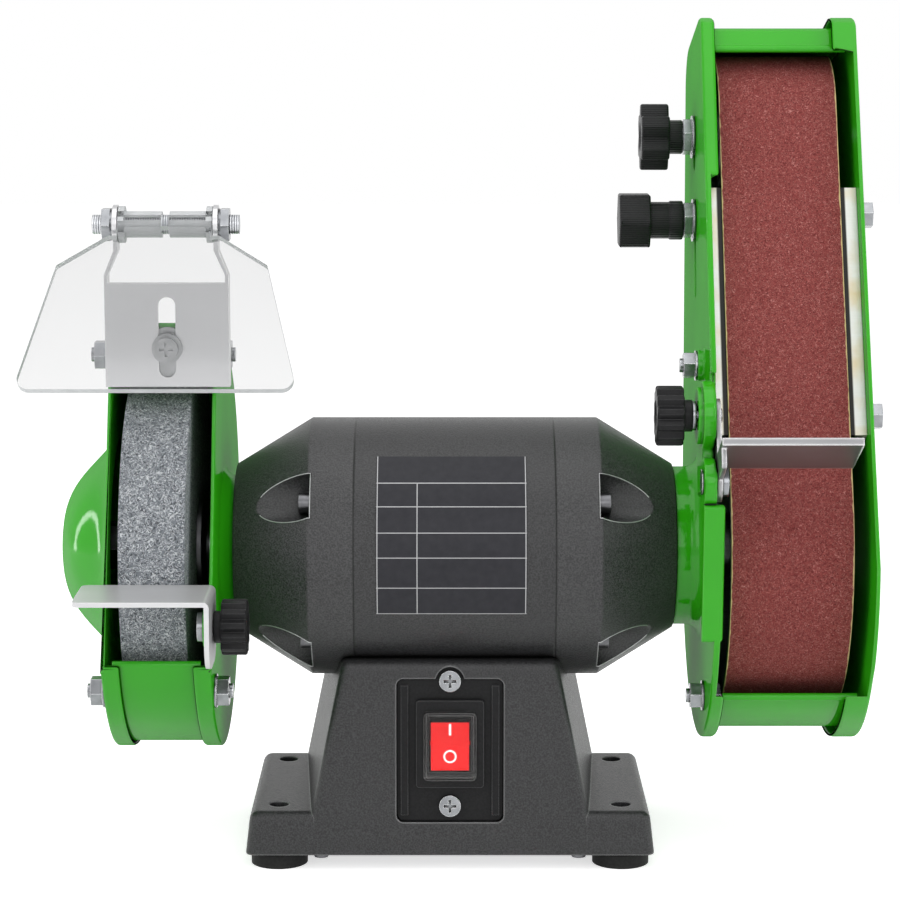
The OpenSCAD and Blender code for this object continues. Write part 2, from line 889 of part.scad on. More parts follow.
rest_bolt_y = -(wheel_d / 2 + rest_gap + 12.5);
rest_bolt_z = -rest_drop - 14.5;
rest_bolt_d = 6;
rest_ear_y = -50;
rest_ear_z = [-30, -10];
module guard_inner_plate() {
    cut_from = guard_gap_x[1] - over;
    color(green) on_axis() difference() {
        union() {
            along_x(guard_gap_x[1], guard_in_x) {
                guard_outline();
                band_round([
                    [rest_bolt_y, rest_bolt_z, lug_r + over], for (z = rest_ear_z) [rest_ear_y, z, lug_r]
                ]);
            }
            guard_rim_ring(guard_gap_x[1] - guard_rim, guard_gap_x[1] + guard_sheet / 2);
            hub_collar(guard_in_x, left_end_x, collar_bore - over, collar_foot_r);
        }
        along_x(cut_from, left_end_x + over) circle(collar_bore);
        at_guard_bolts() along_x(cut_from, guard_in_x + over) circle(d = guard_bolt_d + 2 * run_fit);
        translate([0, rest_bolt_y, rest_bolt_z]) along_x(cut_from, guard_in_x + over)
            square(rest_bolt_d + 2 * run_fit, center = true);
        at_guard_screws() along_x(cut_from, left_end_x + over) circle(d = guard_screw_d + 2 * run_fit);
    }
}

// Flared collar between a plate at x0 and a motor end at x1, drawn as a revolved section
collar_flare = 6;
module hub_collar(x0, x1, bore, foot_r) {
    dir = sign(x1 - x0);
    length = abs(x1 - x0);
    blend = min(collar_flare, length);
    translate([x0, 0, 0]) flip(dir) around_x() difference() {
        translate([bore, 0]) square([foot_r + blend - bore, length]);
        translate([foot_r + blend, blend]) circle(blend, $fn = 64);
        translate([foot_r, blend]) square([2 * blend, length]);
    }
}

// Height of the dome over its radius: a hollow skirt running into a full cap
dome_fullness = 1.7;
dome_steps = 20;
function dome_x(r) = dome_out * (1 + cos(180 * pow(r / dome_r, dome_fullness))) / 2;
module guard_cover() {
    color(green) on_axis() {
        difference() {
            union() {
                along_x(guard_out_x, guard_gap_x[0]) guard_outline();
                guard_rim_ring(guard_gap_x[0] - guard_sheet / 2, guard_gap_x[0] + guard_rim);
            }
            along_x(guard_out_x - over, guard_gap_x[0] + over) circle(dome_r - guard_sheet);
            at_guard_bolts() along_x(guard_out_x - over, guard_gap_x[0] + over)
                circle(d = guard_bolt_d + 2 * run_fit);
        }
        translate([guard_out_x, 0, 0]) flip(-1) around_x() polygon([
            for (i = [0 : dome_steps]) let (r = dome_r * i / dome_steps) [r, dome_x(r)],
            [dome_r, -guard_sheet],
            for (i = [dome_steps : -1 : 0]) let (r = (dome_r - guard_sheet) * i / dome_steps)
                [r, dome_x(r * dome_r / (dome_r - guard_sheet)) - guard_sheet]
        ]);
    }
}

// Wrap strip: a rolled band with a bead at its lower lip and an upright tab at its upper end
tab_y = -43;
tab_w = 30;
tab_top = 101;
tab_foot = 76;
tab_foot_l = 14;
bracket_screw_z = 91;
bracket_screw_d = 5;
module guard_strip() {
    inner_r = strip_r - strip_t;
    color(green) on_axis() difference() {
        union() {
            along_x(guard_gap_x[0], guard_gap_x[1]) difference() {
                circle(strip_r, $fn = 160);
                circle(inner_r, $fn = 160);
                wedge(strip_to, strip_from);
            }
            along_x(guard_gap_x[0] + lip_in, guard_gap_x[1] - lip_in) rotate(strip_from)
                translate([strip_r - lip_r, 0]) circle(lip_r, $fn = 32);
            translate([guard_mid_x - tab_w / 2, tab_y, tab_foot]) {
                cube([tab_w, guard_sheet, tab_top - tab_foot]);
                cube([tab_w, tab_foot_l, guard_sheet]);
            }
        }
        translate([bracket_x, 0, bracket_screw_z]) along_y(tab_y - over, tab_y + guard_sheet + over)
            circle(d = bracket_screw_d);
    }
}

// Through bolts of the guard: threaded ends with nut and washer on both sides
bolt_end = 1.5;
module guard_bolts() {
    out_end = guard_out_x - washer_t - guard_nut_t;
    in_end = guard_in_x + washer_t + guard_nut_t;
    color(zinc) on_axis() at_guard_bolts() {
        along_x(out_end - bolt_end, in_end + bolt_end) circle(d = guard_bolt_d);
        along_x(guard_out_x - washer_t, guard_out_x) circle(d = guard_washer_d);
        hex_prism(guard_nut_af, out_end, guard_out_x - over / 2);
        along_x(guard_in_x, guard_in_x + washer_t) circle(d = guard_washer_d);
        hex_prism(guard_nut_af, guard_in_x + over / 2, in_end);
    }
}

module guard_screws() {
    head_h = 3;
    color(steel) on_axis() at_guard_screws() {
        along_x(guard_gap_x[1] - head_h, guard_gap_x[1]) circle(d = 1.8 * guard_screw_d);
        along_x(guard_gap_x[1] - head_h / 2, left_end_x + guard_screw_l - over)
            circle(d = guard_screw_d - 2 * run_fit);
    }
}

// Tool rest: plate with a side flange that is slotted for the clamping bolt
rest_slot = 10;
rest_front = -(wheel_d / 2 + rest_gap + rest_d);
rest_back = -(wheel_d / 2 + rest_gap);
rest_flange_x = guard_in_x + slide_gap;
rest_in_x = rest_flange_x + rest_t;
rest_round = 3;
rest_bend = 2.5;
// What a bend of radius r takes off a square outer edge
module bend_corner(r) {
    difference() {
        translate([-r, -r]) square(r + over);
        translate([weld - r, weld - r]) circle(r);
    }
}

module tool_rest() {
    color(steel) on_axis() difference() {
        union() {
            translate([rest_in_x - rest_w, rest_front, -rest_drop - rest_t]) linear_extrude(rest_t) {
                translate([rest_w / 2, rest_d / 2]) round_rect(rest_w, rest_d, rest_round);
                translate([rest_w / 2, 0]) square([rest_w / 2, rest_d]);
            }
            along_x(rest_flange_x, rest_in_x) {
                translate([rest_front, -rest_drop - rest_flange_h / 2]) square([rest_d, rest_flange_h / 2]);
                translate([rest_front + rest_d / 2, -rest_drop - rest_flange_h / 2 - over])
                    round_rect(rest_d, rest_flange_h - 2 * over, rest_d / 3);
            }
        }
        along_x(rest_flange_x - over, rest_in_x + over) translate([rest_bolt_y - rest_out, rest_bolt_z])
            slot([0, 0], [rest_slot, 0], rest_bolt_d + 2 * slide_gap);
        translate([rest_in_x, rest_back + over, -rest_drop]) rotate([90, 0, 0])
            linear_extrude(rest_d + 2 * over) bend_corner(rest_bend);
    }
}
rest_out = 1.8;

module rest_bolt() {
    head_h = 2.5;
    color(zinc) on_axis() translate([0, rest_bolt_y, rest_bolt_z]) {
        along_x(guard_gap_x[1] - head_h, guard_gap_x[1]) circle(d = 2 * rest_bolt_d);
        along_x(guard_gap_x[1] - over, guard_in_x) square(rest_bolt_d, center = true);
        along_x(guard_gap_x[1], rest_bolt_end) circle(d = rest_bolt_d);
    }
}
rest_bolt_end = rest_in_x + 8;
rest_knob_x = rest_in_x + slide_gap;
rest_knob_l = 13.5;
rest_collar_l = 3;
rest_knob_bore = rest_bolt_d + 2 * run_fit;

module rest_knob() {
    color(black_plastic) on_axis() translate([0, rest_bolt_y, rest_bolt_z])
        star_knob(star_d, grip_lobes,
            rest_knob_x + rest_knob_l, rest_knob_x + rest_collar_l, rest_knob_x, rest_knob_bore);
}

// Shield bracket: slotted plate, side flanges and two joggled arms with lugs for the hinge rod
bracket_out = 19;
bracket_x = guard_in_x - bracket_out;
bracket_t = 1.5;
bracket_z = 75;
bracket_flange = 7;
clamp_plate_t = 1;
clamp_plate_w = 14;
clamp_plate_span = [-9, 1.5];
bracket_front = tab_y - clamp_plate_t - slide_gap - bracket_t;
bracket_slot = [82.5, 108.5];
rod_y = bracket_front + 4;
rod_z = 141.5;
arm_joggle = [121, 131];
lug_half = 19.5;
rod_lug_r = 8;
lug_t = 2;
module shield_bracket() {
    half = bracket_w / 2;
    top = bracket_z + bracket_h;
    color(zinc) on_axis() difference() {
        translate([bracket_x, 0, 0]) union() {
            translate([-half, bracket_front, bracket_z]) cube([bracket_w, bracket_t, bracket_h]);
            for (x = [-1, 1]) flip(x) {
                along_x(half - bracket_t, half) {
                    translate([bracket_front, bracket_z])
                        square([bracket_flange, arm_joggle[0] - bracket_z]);
                }
                along_y(bracket_front, bracket_front + bracket_flange) polygon([
                    [half, arm_joggle[0]], [lug_half + lug_t, arm_joggle[1]],
                    [lug_half, arm_joggle[1]], [half - bracket_t, arm_joggle[0]]
                ]);
                along_x(lug_half, lug_half + lug_t) difference() {
                    union() {
                        translate([bracket_front, arm_joggle[1]])
                            square([bracket_flange, rod_z - arm_joggle[1]]);
                        translate([rod_y, rod_z]) circle(rod_lug_r);
                    }
                    translate([rod_y, rod_z]) circle(d = rod_d + 2 * run_fit);
                }
            }
        }
        translate([bracket_x, 0, 0]) along_y(bracket_front - over, tab_y + over)
            slot([0, bracket_slot[0]], [0, bracket_slot[1]], bracket_screw_d + 2);
    }
}

// Clamping screw with its washer, its nut and the steel plate that backs the bracket
module bracket_screw() {
    head_d = 9.5;
    head_h = 3.5;
    nut_af = 8;
    nut_t = 3.5;
    tab_back = tab_y + guard_sheet;
    face = bracket_front - slide_gap - washer_t;
    color(zinc) on_axis() translate([bracket_x, 0, bracket_screw_z]) difference() {
        union() {
            along_y(face - head_h, face) circle(d = head_d);
            along_y(face - over / 2, bracket_front - slide_gap) circle(d = head_d + 3);
            along_y(face, tab_back + nut_t + bolt_end) circle(d = bracket_screw_d);
            along_y(tab_back, tab_back + nut_t) circle(d = nut_af / cos(30), $fn = 6);
            along_y(tab_y - clamp_plate_t, tab_y)
                slot([0, clamp_plate_span[0]], [0, clamp_plate_span[1]], clamp_plate_w);
        }
        cross_recess(head_d * 0.6, face - head_h, head_h / 2);
    }
}

rod_half = 30;
rod_nut_af = 13;
rod_nut_t = 3.5;
module on_rod() {
    on_axis() translate([bracket_x, rod_y, rod_z]) children();
}

module hinge_rod() {
    color(steel) on_rod() along_x(-rod_half, rod_half) circle(d = rod_d);
}

module rod_nuts() {
    color(zinc) on_rod() for (x = [-1, 1]) flip(x) {
        nut_x = lug_half + lug_t + washer_t;
        washer(rod_nut_af, rod_d, nut_x - washer_t, nut_x);
        nut(rod_nut_af, rod_d, nut_x, nut_x + rod_nut_t);
    }
}

// Clear shield: a shouldered plate on two hinge barrels with flanged ends
barrel_d = 10.8;
barrel_gap = 1.6;
barrel_flange_d = 15;
barrel_flange_t = 2.5;
lug_clear = 2;
shoulder_w = 45;
shoulder_l = 9;
hip_w = 85.5;
hip_l = 23.5;
hip_r = 2;
shield_round = 5;
module shield_outline() {
    w0 = shoulder_w / 2;
    w1 = hip_w / 2 - hip_r;
    w2 = shield_w / 2 - shield_round;
    band_round([
        [-w2, shield_round - shield_l, shield_round], [w2, shield_round - shield_l, shield_round],
        [w1, -hip_l - hip_r, hip_r], [w0 - hip_r, -shoulder_l - hip_r, hip_r],
        [hip_r - w0, -shoulder_l - hip_r, hip_r], [-w1, -hip_l - hip_r, hip_r]
    ]);
    translate([-w0, -shoulder_l - over]) square([shoulder_w, shoulder_l + over]);
}

module eye_shield() {
    reach = lug_half - slide_gap;
    color(clear) on_rod() rotate([-shield_tilt, 0, 0]) difference() {
        union() {
            along_y(-barrel_d / 2 - shield_t / 2, -barrel_d / 2 + shield_t / 2) shield_outline();
            for (x = [-1, 1]) flip(x) {
                along_x(barrel_gap, reach) circle(d = barrel_d);
                along_x(reach - barrel_flange_t, reach) circle(d = barrel_flange_d);
            }
        }
        along_x(-reach - over, reach + over) circle(d = rod_d + 2 * run_fit);
        translate([-barrel_gap, -barrel_d, -barrel_d / 2]) cube([2 * barrel_gap, 2 * barrel_d, barrel_d]);
        for (x = [-1, 1]) flip(x) translate([reach, -barrel_flange_d, -rod_lug_r - lug_clear])
            cube([shield_w, 2 * barrel_flange_d, 2 * (rod_lug_r + lug_clear)]);
    }
}

// Sander arm, drawn upright about the motor axis and leaned back by on_arm
belt_gap = 0.3;
drive_run_r = drive_d / 2 + belt_gap + belt_t / 2;
idler_run_r = idler_d / 2 + belt_gap + belt_t / 2;
run_step = drive_run_r - idler_run_r;
// Roller spacing at which the belt is just taut, by repeated correction
function belt_wrap(c) = PI * (drive_run_r + idler_run_r) + 2 * run_step * asin(run_step / c) * PI / 180;
function taut(c, n) =
    n == 0 ? c : taut(sqrt(pow((belt_len - belt_wrap(c)) / 2, 2) + run_step * run_step), n - 1);
idler_z = taut(belt_len / 4, 12);
belt_angle = asin(run_step / idler_z);
belt_face = drive_run_r + belt_t / 2;
front_margin = 8;
arm_in_x = arm_x + arm_wall;
cover_in_x = cover_x - arm_sheet;
rim_t = 2.2;
strip_inset = 4.5;
hood_z = 152;
hook_z = -66;
cover_hook_z = 208.5;
strip_lip_z = 210.5;
// Distance of a point on the front of the arm from its middle line, at height z
function front_line(d, z) = -(d - z * sin(belt_angle)) / cos(belt_angle);

module band_loop(drive_r, idler_r) {
    band_round([[0, 0, drive_r], [0, idler_z, idler_r]]);
}

module arm_outline(inset) {
    corner_y = arm_top_half - arm_corner;
    corner_z = arm_top - arm_corner;
    difference() {
        band_round([
            [0, 0, arm_r - inset], [corner_y, corner_z, arm_corner - inset],
            [-corner_y, corner_z, arm_corner - inset]
        ]);
        ahead_of(belt_face + front_margin - inset, belt_angle);
    }
}

// Front window between two heights, taken out of a rim or strip
module front_window(z0, z1) {
    translate([-2 * arm_top, z0]) square([2 * arm_top, z1 - z0]);
}

module arm_ring(inset, wall, z0, z1) {
    difference() {
        arm_outline(inset);
        arm_outline(inset + wall);
        front_window(z0, z1);
    }
}

// Ears, rib and slots of the casting
pivot = [-82, 19.5];
stud = [-78, 47];
stud_reach = norm(stud - pivot);
stud_angle = atan2(stud.y - pivot.y, stud.x - pivot.x);
stud_d = 6;
pivot_d = 6;
ear_t = 5;
ear_boss = 2;
ear_boss_r = 11.5;
ear_x = arm_x - ear_t;
upper_ear_r = 14;
lower_ear_r = 9.8;
notch_y = -63;
notch_z = [4, 66];
ear_root = [[-55, 53], [-55, 15.5]];
rib_tip = 18.4;
rib_dist = 80;
rib_t = 4;
rib_round = 1.5;
rib_span = [-20.5, 36.5];
platen_bolt = [-38, 73];
platen_boss_r = 6.5;
platen_boss = 3;
strip_bolt = [-20, -65];
axle_d = 10;
tension_bolt_d = 8;
tension_drop = 37;
tension_slot_end = 108;
spring_d = 10;
spring_l = 24;
carriage_t = 2.5;
carriage_w = 34;
carriage_corner = 5;
carriage_up = 16;
carriage_down = 60;
carriage_x = arm_in_x + slide_gap;
spring_x = arm_in_x + 7;
ledge_t = 4;
collar_arm_r = 34;
hub_bore = boss_r + run_fit;

module slot_arc(r, mid, swing, w) {
    intersection() {
        difference() {
            circle(r + w / 2);
            circle(r - w / 2);
        }
        wedge(mid - swing, mid + swing);
    }
    for (a = [mid - swing, mid + swing]) translate(r * [cos(a), sin(a)]) circle(d = w + 2 * weld);
}

module ear_outline() {
    translate(stud) circle(upper_ear_r);
    translate(pivot) circle(lower_ear_r);
    polygon([[pivot.x, pivot.y], [stud.x, stud.y], each ear_root]);
}

module arm_casting() {
    tension_z = idler_z - tension_drop;
    color(green) on_arm() difference() {
        union() {
            along_x(arm_x, arm_in_x) difference() {
                arm_outline(0);
                ahead_of(rib_dist, -rib_tip);
                translate([-2 * arm_r, notch_z[0]]) square([2 * arm_r + notch_y, notch_z[1] - notch_z[0]]);
            }
            along_x(arm_in_x - over, arm_in_x + arm_rim) arm_ring(0, rim_t, hook_z, hood_z);
            along_x(ear_x, arm_x) ear_outline();
            along_x(ear_x - ear_boss, arm_x) translate(stud) circle(ear_boss_r);
            along_x(ear_x, arm_in_x) intersection() {
                ear_outline();
                translate([notch_y, 0]) square(stud.y + upper_ear_r);
            }
            along_x(ear_x, arm_in_x + over) rotate(rib_tip)
                translate([-rib_dist + rib_t / 2, (rib_span[0] + rib_span[1]) / 2])
                round_rect(rib_t, rib_span[1] - rib_span[0], rib_round);
            translate([0, platen_bolt.x, platen_bolt.y]) along_x(arm_x - platen_boss, arm_x + over)
                circle(platen_boss_r);
            translate([0, 0, idler_z - carriage_down - spring_l - ledge_t])
                along_x(arm_in_x - over, spring_x + spring_d / 2)
                translate([-spring_d / 2, 0]) square([spring_d, ledge_t]);
            hub_collar(arm_x, right_end_x + slide_gap, hub_bore, collar_arm_r);
        }
        along_x(arm_x - over, arm_in_x + over) {
            circle(hub_bore, $fn = 128);
            slot([0, idler_z - tension_travel], [0, idler_z], axle_d + 2 * slide_gap);
            slot([0, tension_slot_end + tension_bolt_d / 2], [0, tension_z], tension_bolt_d + 2 * slide_gap);
        }
        along_x(ear_x - ear_boss - over, arm_x + over) {
            translate(pivot)
                slot_arc(stud_reach, stud_angle, table_swing, stud_d + 2 * slide_gap);
            translate(pivot) circle(d = pivot_d + 2 * run_fit);
        }
        translate([0, platen_bolt.x, platen_bolt.y]) along_x(arm_x - platen_boss - over, arm_in_x + over)
            circle(d = arm_bolt_d + 2 * run_fit);
        translate([0, strip_bolt.x, strip_bolt.y]) along_x(arm_x - over, arm_in_x + over)
            circle(d = arm_bolt_d + 2 * run_fit);
    }
}
arm_bolt_d = 6;
arm_nut_af = 10;
arm_nut_t = 5;
arm_washer_d = 12.6;

// Pressed outer cover, its rim hooked over the top, the back and the bottom
cover_rim = 9;
cover_bolts = [[-33, 138], [-50, 50]];
module arm_cover() {
    color(green) on_arm() difference() {
        union() {
            along_x(cover_in_x, cover_x) arm_outline(0);
            along_x(cover_in_x - cover_rim, cover_in_x + arm_sheet / 2)
                arm_ring(0, arm_sheet, hook_z, cover_hook_z);
        }
        for (p = cover_bolts) translate([0, p.x, p.y]) along_x(cover_in_x - over, cover_x + over)
            circle(d = arm_bolt_d + 2 * run_fit);
    }
}

// Wrap strip from the lower lip round the bottom, back and top to the upper lip
tab_t = 1.5;
module arm_strip() {
    lip_low = -sqrt(pow(arm_r - strip_inset - arm_sheet / 2, 2) - hook_z * hook_z);
    lip_high = front_line(belt_face + front_margin - strip_inset - arm_sheet / 2, strip_lip_z);
    color(green) on_arm() difference() {
        union() {
            along_x(arm_in_x, cover_in_x) arm_ring(strip_inset, arm_sheet, hook_z, strip_lip_z);
            along_x(arm_in_x + arm_rim, cover_in_x - 3) {
                translate([lip_low, hook_z]) circle(lip_r, $fn = 32);
                translate([lip_high, strip_lip_z]) circle(lip_r, $fn = 32);
            }
            along_x(arm_in_x, arm_in_x + tab_t) intersection() {
                arm_outline(strip_inset + arm_sheet / 2);
                slot(strip_bolt, strip_bolt * 1.3, 2 * platen_boss_r);
            }
        }
        translate([0, strip_bolt.x, strip_bolt.y]) along_x(arm_in_x - over, arm_in_x + tab_t + over)
            circle(d = arm_bolt_d + 2 * run_fit);
    }
}

// Bolt with its head inside and its nut and washer outside the casting
module inside_bolt(p, head_x, face_x) {
    head_t = 3;
    translate([0, p.x, p.y]) {
        hex_prism(arm_nut_af, head_x, head_x + head_t);
        along_x(face_x - washer_t - arm_nut_t - bolt_end, head_x + over) circle(d = arm_bolt_d);
        along_x(face_x - washer_t, face_x) circle(d = arm_washer_d);
        hex_prism(arm_nut_af, face_x - washer_t - arm_nut_t, face_x - over / 2);
    }
}

module arm_bolts() {
    color(zinc) on_arm() inside_bolt(strip_bolt, arm_in_x + tab_t, arm_x);
}

// Ring screwed to the motor's boss, which holds the arm's hub and lets it tilt when slackened
clamp_screw_d = 5;
clamp_screw_at = 24;
clamp_t = 3;
module at_clamp_screws() {
    for (a = [90, 210, 330]) rotate([a, 0, 0]) translate([0, clamp_screw_at, 0]) children();
}

module arm_clamp_ring() {
    color(steel) on_axis() difference() {
        along_x(boss_end, boss_end + clamp_t) difference() {
            circle(boss_r + 6);
            circle(shaft_hole_r);
        }
        at_clamp_screws() along_x(boss_end - over, boss_end + clamp_t + over)
            circle(d = clamp_screw_d + 2 * run_fit);
    }
}

module clamp_screws() {
    head_h = 2.5;
    color(steel) on_axis() at_clamp_screws() {
        along_x(boss_end + clamp_t, boss_end + clamp_t + head_h) circle(d = 1.7 * clamp_screw_d);
        along_x(right_end_x - over / 2, boss_end + clamp_t + over) circle(d = clamp_screw_d - 2 * run_fit);
    }
}

module sanding_belt() {
    color([0.42, 0.12, 0.11]) on_arm() along_x(belt_x - belt_w / 2, belt_x + belt_w / 2) difference() {
        band_loop(belt_face, idler_run_r + belt_t / 2);
        band_loop(drive_run_r - belt_t / 2, idler_run_r - belt_t / 2);
    }
}

// Idler roller on two bearings, carried by the tension carriage
idler_bearing_d = 26;
idler_bearing_w = 8;
axle_out = 17;
axle_tip = arm_x - axle_out;
axle_head_t = 4;
axle_shoulder_d = 15;
tension_out = 27;
tension_tip = arm_x - tension_out;
module at_idler() {
    on_arm() translate([0, 0, idler_z]) children();
}

module idler_roller() {
    rim = 4;
    web = 8;
    seat = idler_bearing_d / 2 + run_fit;
    color([0.6, 0.61, 0.63]) at_idler() around_x() difference() {
        translate([axle_d / 2 + 2, drive_in_x]) square([idler_d / 2 - axle_d / 2 - 2, drive_w]);
        for (x = [drive_in_x - over, drive_out_x - idler_bearing_w]) {
            translate([0, x]) square([seat, idler_bearing_w + over]);
        }
        for (x = [drive_in_x - over, belt_x + web / 2]) {
            translate([seat + rim, x])
                square([idler_d / 2 - rim - seat - rim, drive_w / 2 - web / 2 + over]);
        }
    }
}

module idler_bearings() {
    color(steel) at_idler() for (x = [drive_in_x, drive_out_x - idler_bearing_w]) {
        washer(idler_bearing_d, axle_d + 2 * run_fit, x, x + idler_bearing_w);
    }
}

module idler_axle() {
    color(steel) at_idler() {
        along_x(axle_tip, drive_out_x + axle_head_t) circle(d = axle_d);
        along_x(carriage_x + carriage_t, drive_in_x - slide_gap) circle(d = axle_shoulder_d);
        along_x(drive_out_x + slide_gap, drive_out_x + axle_head_t) circle(d = axle_shoulder_d);
    }
}

module tension_carriage() {
    color(zinc) at_idler() difference() {
        union() {
            along_x(carriage_x, carriage_x + carriage_t) translate([0, (carriage_up - carriage_down) / 2])
                round_rect(carriage_w, carriage_up + carriage_down, carriage_corner);
            along_x(carriage_x, spring_x + spring_d / 2) translate([-spring_d / 2, -carriage_down])
                square([spring_d, carriage_t]);
        }
        along_x(carriage_x - over, carriage_x + carriage_t + over) {
            circle(d = axle_d);
            translate([0, -tension_drop]) circle(d = tension_bolt_d);
        }
    }
}

tension_head_af = 13;
tension_head_t = 2.2;
module tension_bolt() {
    color(steel) at_idler() translate([0, 0, -tension_drop]) {
        along_x(tension_tip, carriage_x + carriage_t + over) circle(d = tension_bolt_d);
        hex_prism(tension_head_af, carriage_x + carriage_t, carriage_x + carriage_t + tension_head_t);
    }
}

// Compression spring under the carriage, hidden behind the platen
module tension_spring() {
    color(steel) at_idler() translate([spring_x, 0, -carriage_down - spring_l]) difference() {
        cylinder(d = spring_d, h = spring_l);
        translate([0, 0, -over]) cylinder(d = spring_d - 3, h = spring_l + 2 * over);
    }
}

// Washers and nuts outside the casting, on the idler axle and the tension bolt
outer_nut_af = 14;
outer_nut_t = 3.8;
outer_washer_d = 18.5;
outer_face = arm_x - slide_gap;
outer_nut_x = outer_face - washer_t - outer_nut_t;
module axle_nuts() {
    color(zinc) at_idler() for (n = [[0, axle_d], [-tension_drop, tension_bolt_d]]) translate([0, 0, n.x]) {
        washer(outer_washer_d, n.y, outer_face - washer_t, outer_face);
        nut(outer_nut_af, n.y, outer_nut_x, outer_face - washer_t);
    }
}

tracking_out = [23.7, 11.5];
tracking_d = 29;
tracking_lobes = 6;
tracking_tip = arm_x - tracking_out[0];
tracking_shoulder = arm_x - tracking_out[1];
module tracking_knob() {
    color(black_plastic) at_idler()
        star_knob(tracking_d, tracking_lobes,
            tracking_tip, tracking_shoulder, outer_nut_x - slide_gap, axle_d + 2 * run_fit);
}

// Six-sided tension grip on a stepped collar
grip_out = [33.4, 19.8, 11.6];
grip_collar_d = [16, 17];
grip_tip = arm_x - grip_out[0];
grip_shoulder = arm_x - grip_out[1];
grip_step = arm_x - grip_out[2];
grip_d = 25.6;
grip_af = 23.4;
module tension_knob() {
    color(black_plastic) at_idler() translate([0, 0, -tension_drop]) difference() {
        union() {
            along_x(grip_tip, grip_shoulder) intersection() {
                circle(d = grip_d);
                circle(d = grip_af / cos(30), $fn = 6);
            }
            along_x(grip_shoulder, grip_step) circle(d = grip_collar_d[0]);
            along_x(grip_step, outer_nut_x - slide_gap) circle(d = grip_collar_d[1]);
        }
        along_x(tension_tip - over, outer_nut_x) circle(d = tension_bolt_d + 2 * run_fit);
    }
}

// Platen behind the belt's front run, with side flanges bolted to the casting and the cover
platen_t = 2;
platen_span = [29, 138.5];
platen_flange = 16;
platen_dist = drive_d / 2;
module along_run() {
    rotate(-belt_angle) children();
}

module platen_flange_outline(bolts) {
    along_run() translate([-platen_dist, platen_span[0]])
        square([platen_flange, platen_span[1] - platen_span[0]]);
    for (p = bolts) intersection() {
        slot(p, p - [platen_flange, 0], 2 * platen_boss_r);
        along_run() translate([-platen_dist, 0]) square(2 * platen_dist);
    }
}

module platen() {
    left = arm_in_x;
    right = cover_in_x;
    color(steel) on_arm() difference() {
        union() {
            along_x(left, right) along_run() {
                translate([-platen_dist, platen_span[0]])
                    square([platen_t, platen_span[1] - platen_span[0]]);
                translate([-platen_dist, platen_span[1] - platen_t])
                    square([platen_flange * 0.6, platen_t]);
            }
            along_x(left, left + platen_t) platen_flange_outline([platen_bolt]);
            along_x(right - platen_t, right) platen_flange_outline(cover_bolts);
        }
        translate([0, platen_bolt.x, platen_bolt.y]) along_x(left - over, left + platen_t + over)
            circle(d = arm_bolt_d + 2 * run_fit);
        for (p = cover_bolts) translate([0, p.x, p.y]) along_x(right - platen_t - over, right + over)
            circle(d = arm_bolt_d + 2 * run_fit);
    }
}

module platen_bolts() {
    head_t = 5;
    inner_nut_t = 4;
    color(zinc) on_arm() {
        inside_bolt(platen_bolt, arm_in_x + platen_t, arm_x - platen_boss);
        for (p = cover_bolts) translate([0, p.x, p.y]) {
            along_x(cover_in_x - platen_t - over, cover_x + over) circle(d = arm_bolt_d);
            along_x(cover_x, cover_x + washer_t) circle(d = arm_washer_d);
            hex_prism(arm_nut_af, cover_x + over / 2, cover_x + washer_t + head_t);
            hex_prism(arm_nut_af, cover_in_x - platen_t - inner_nut_t, cover_in_x - platen_t);
        }
    }
}

// Work table, square to the belt, on a side flange that pivots in the lower ear
flange_x = arm_x + slide_gap;
table_flange_t = 2;
table_low = 10.6;
stud_ear_r = 7;
pivot_ear_r = 8;
skirt_h = 8;
skirt_in = 6;
skirt_round = 2;
pivot_head_t = 0.8;
pivot_rivet_t = 2.4;
module table_section() {
    far = belt_face + table_gap;
    along_run() translate([-far - table_d, table_low]) square([table_d, table_t]);
}

module work_table() {
    far = belt_face + table_gap;
    corner = 4;
    color(steel) on_arm() difference() {
        union() {
            intersection() {
                along_x(flange_x, flange_x + table_w) table_section();
                rotate([belt_angle, 0, 0]) translate([flange_x, -far - table_d, 0])
                    linear_extrude(arm_top) {
                    translate([table_w / 2, table_d / 2]) round_rect(table_w, table_d, corner);
                    translate([0, table_d / 2]) square([table_w, table_d / 2]);
                }
            }
            along_x(flange_x, flange_x + table_flange_t) {
                band_round([[stud.x, stud.y, stud_ear_r], [pivot.x, pivot.y, pivot_ear_r]]);
                along_run() translate([-far - table_d + corner, table_low - skirt_h])
                    round_rect_at(table_d - corner - skirt_in, skirt_h + table_t, skirt_round);
            }
        }
        along_x(flange_x - over, flange_x + table_flange_t + over) {
            translate(pivot) circle(d = pivot_d + 2 * run_fit);
            translate(stud) circle(d = stud_d + 2 * run_fit);
        }
    }
}

module round_rect_at(w, h, r) {
    translate([w / 2, h / 2]) round_rect(w, h, r);
}

module table_pivot() {
    color(zinc) on_arm() translate([0, pivot.x, pivot.y]) {
        rivet_x = flange_x + table_flange_t + slide_gap;
        along_x(ear_x - pivot_head_t, rivet_x + over) circle(d = pivot_d);
        along_x(ear_x - pivot_head_t, ear_x) circle(d = 1.7 * pivot_d);
        along_x(rivet_x, rivet_x + pivot_rivet_t) circle(d = 2 * pivot_d);
    }
}

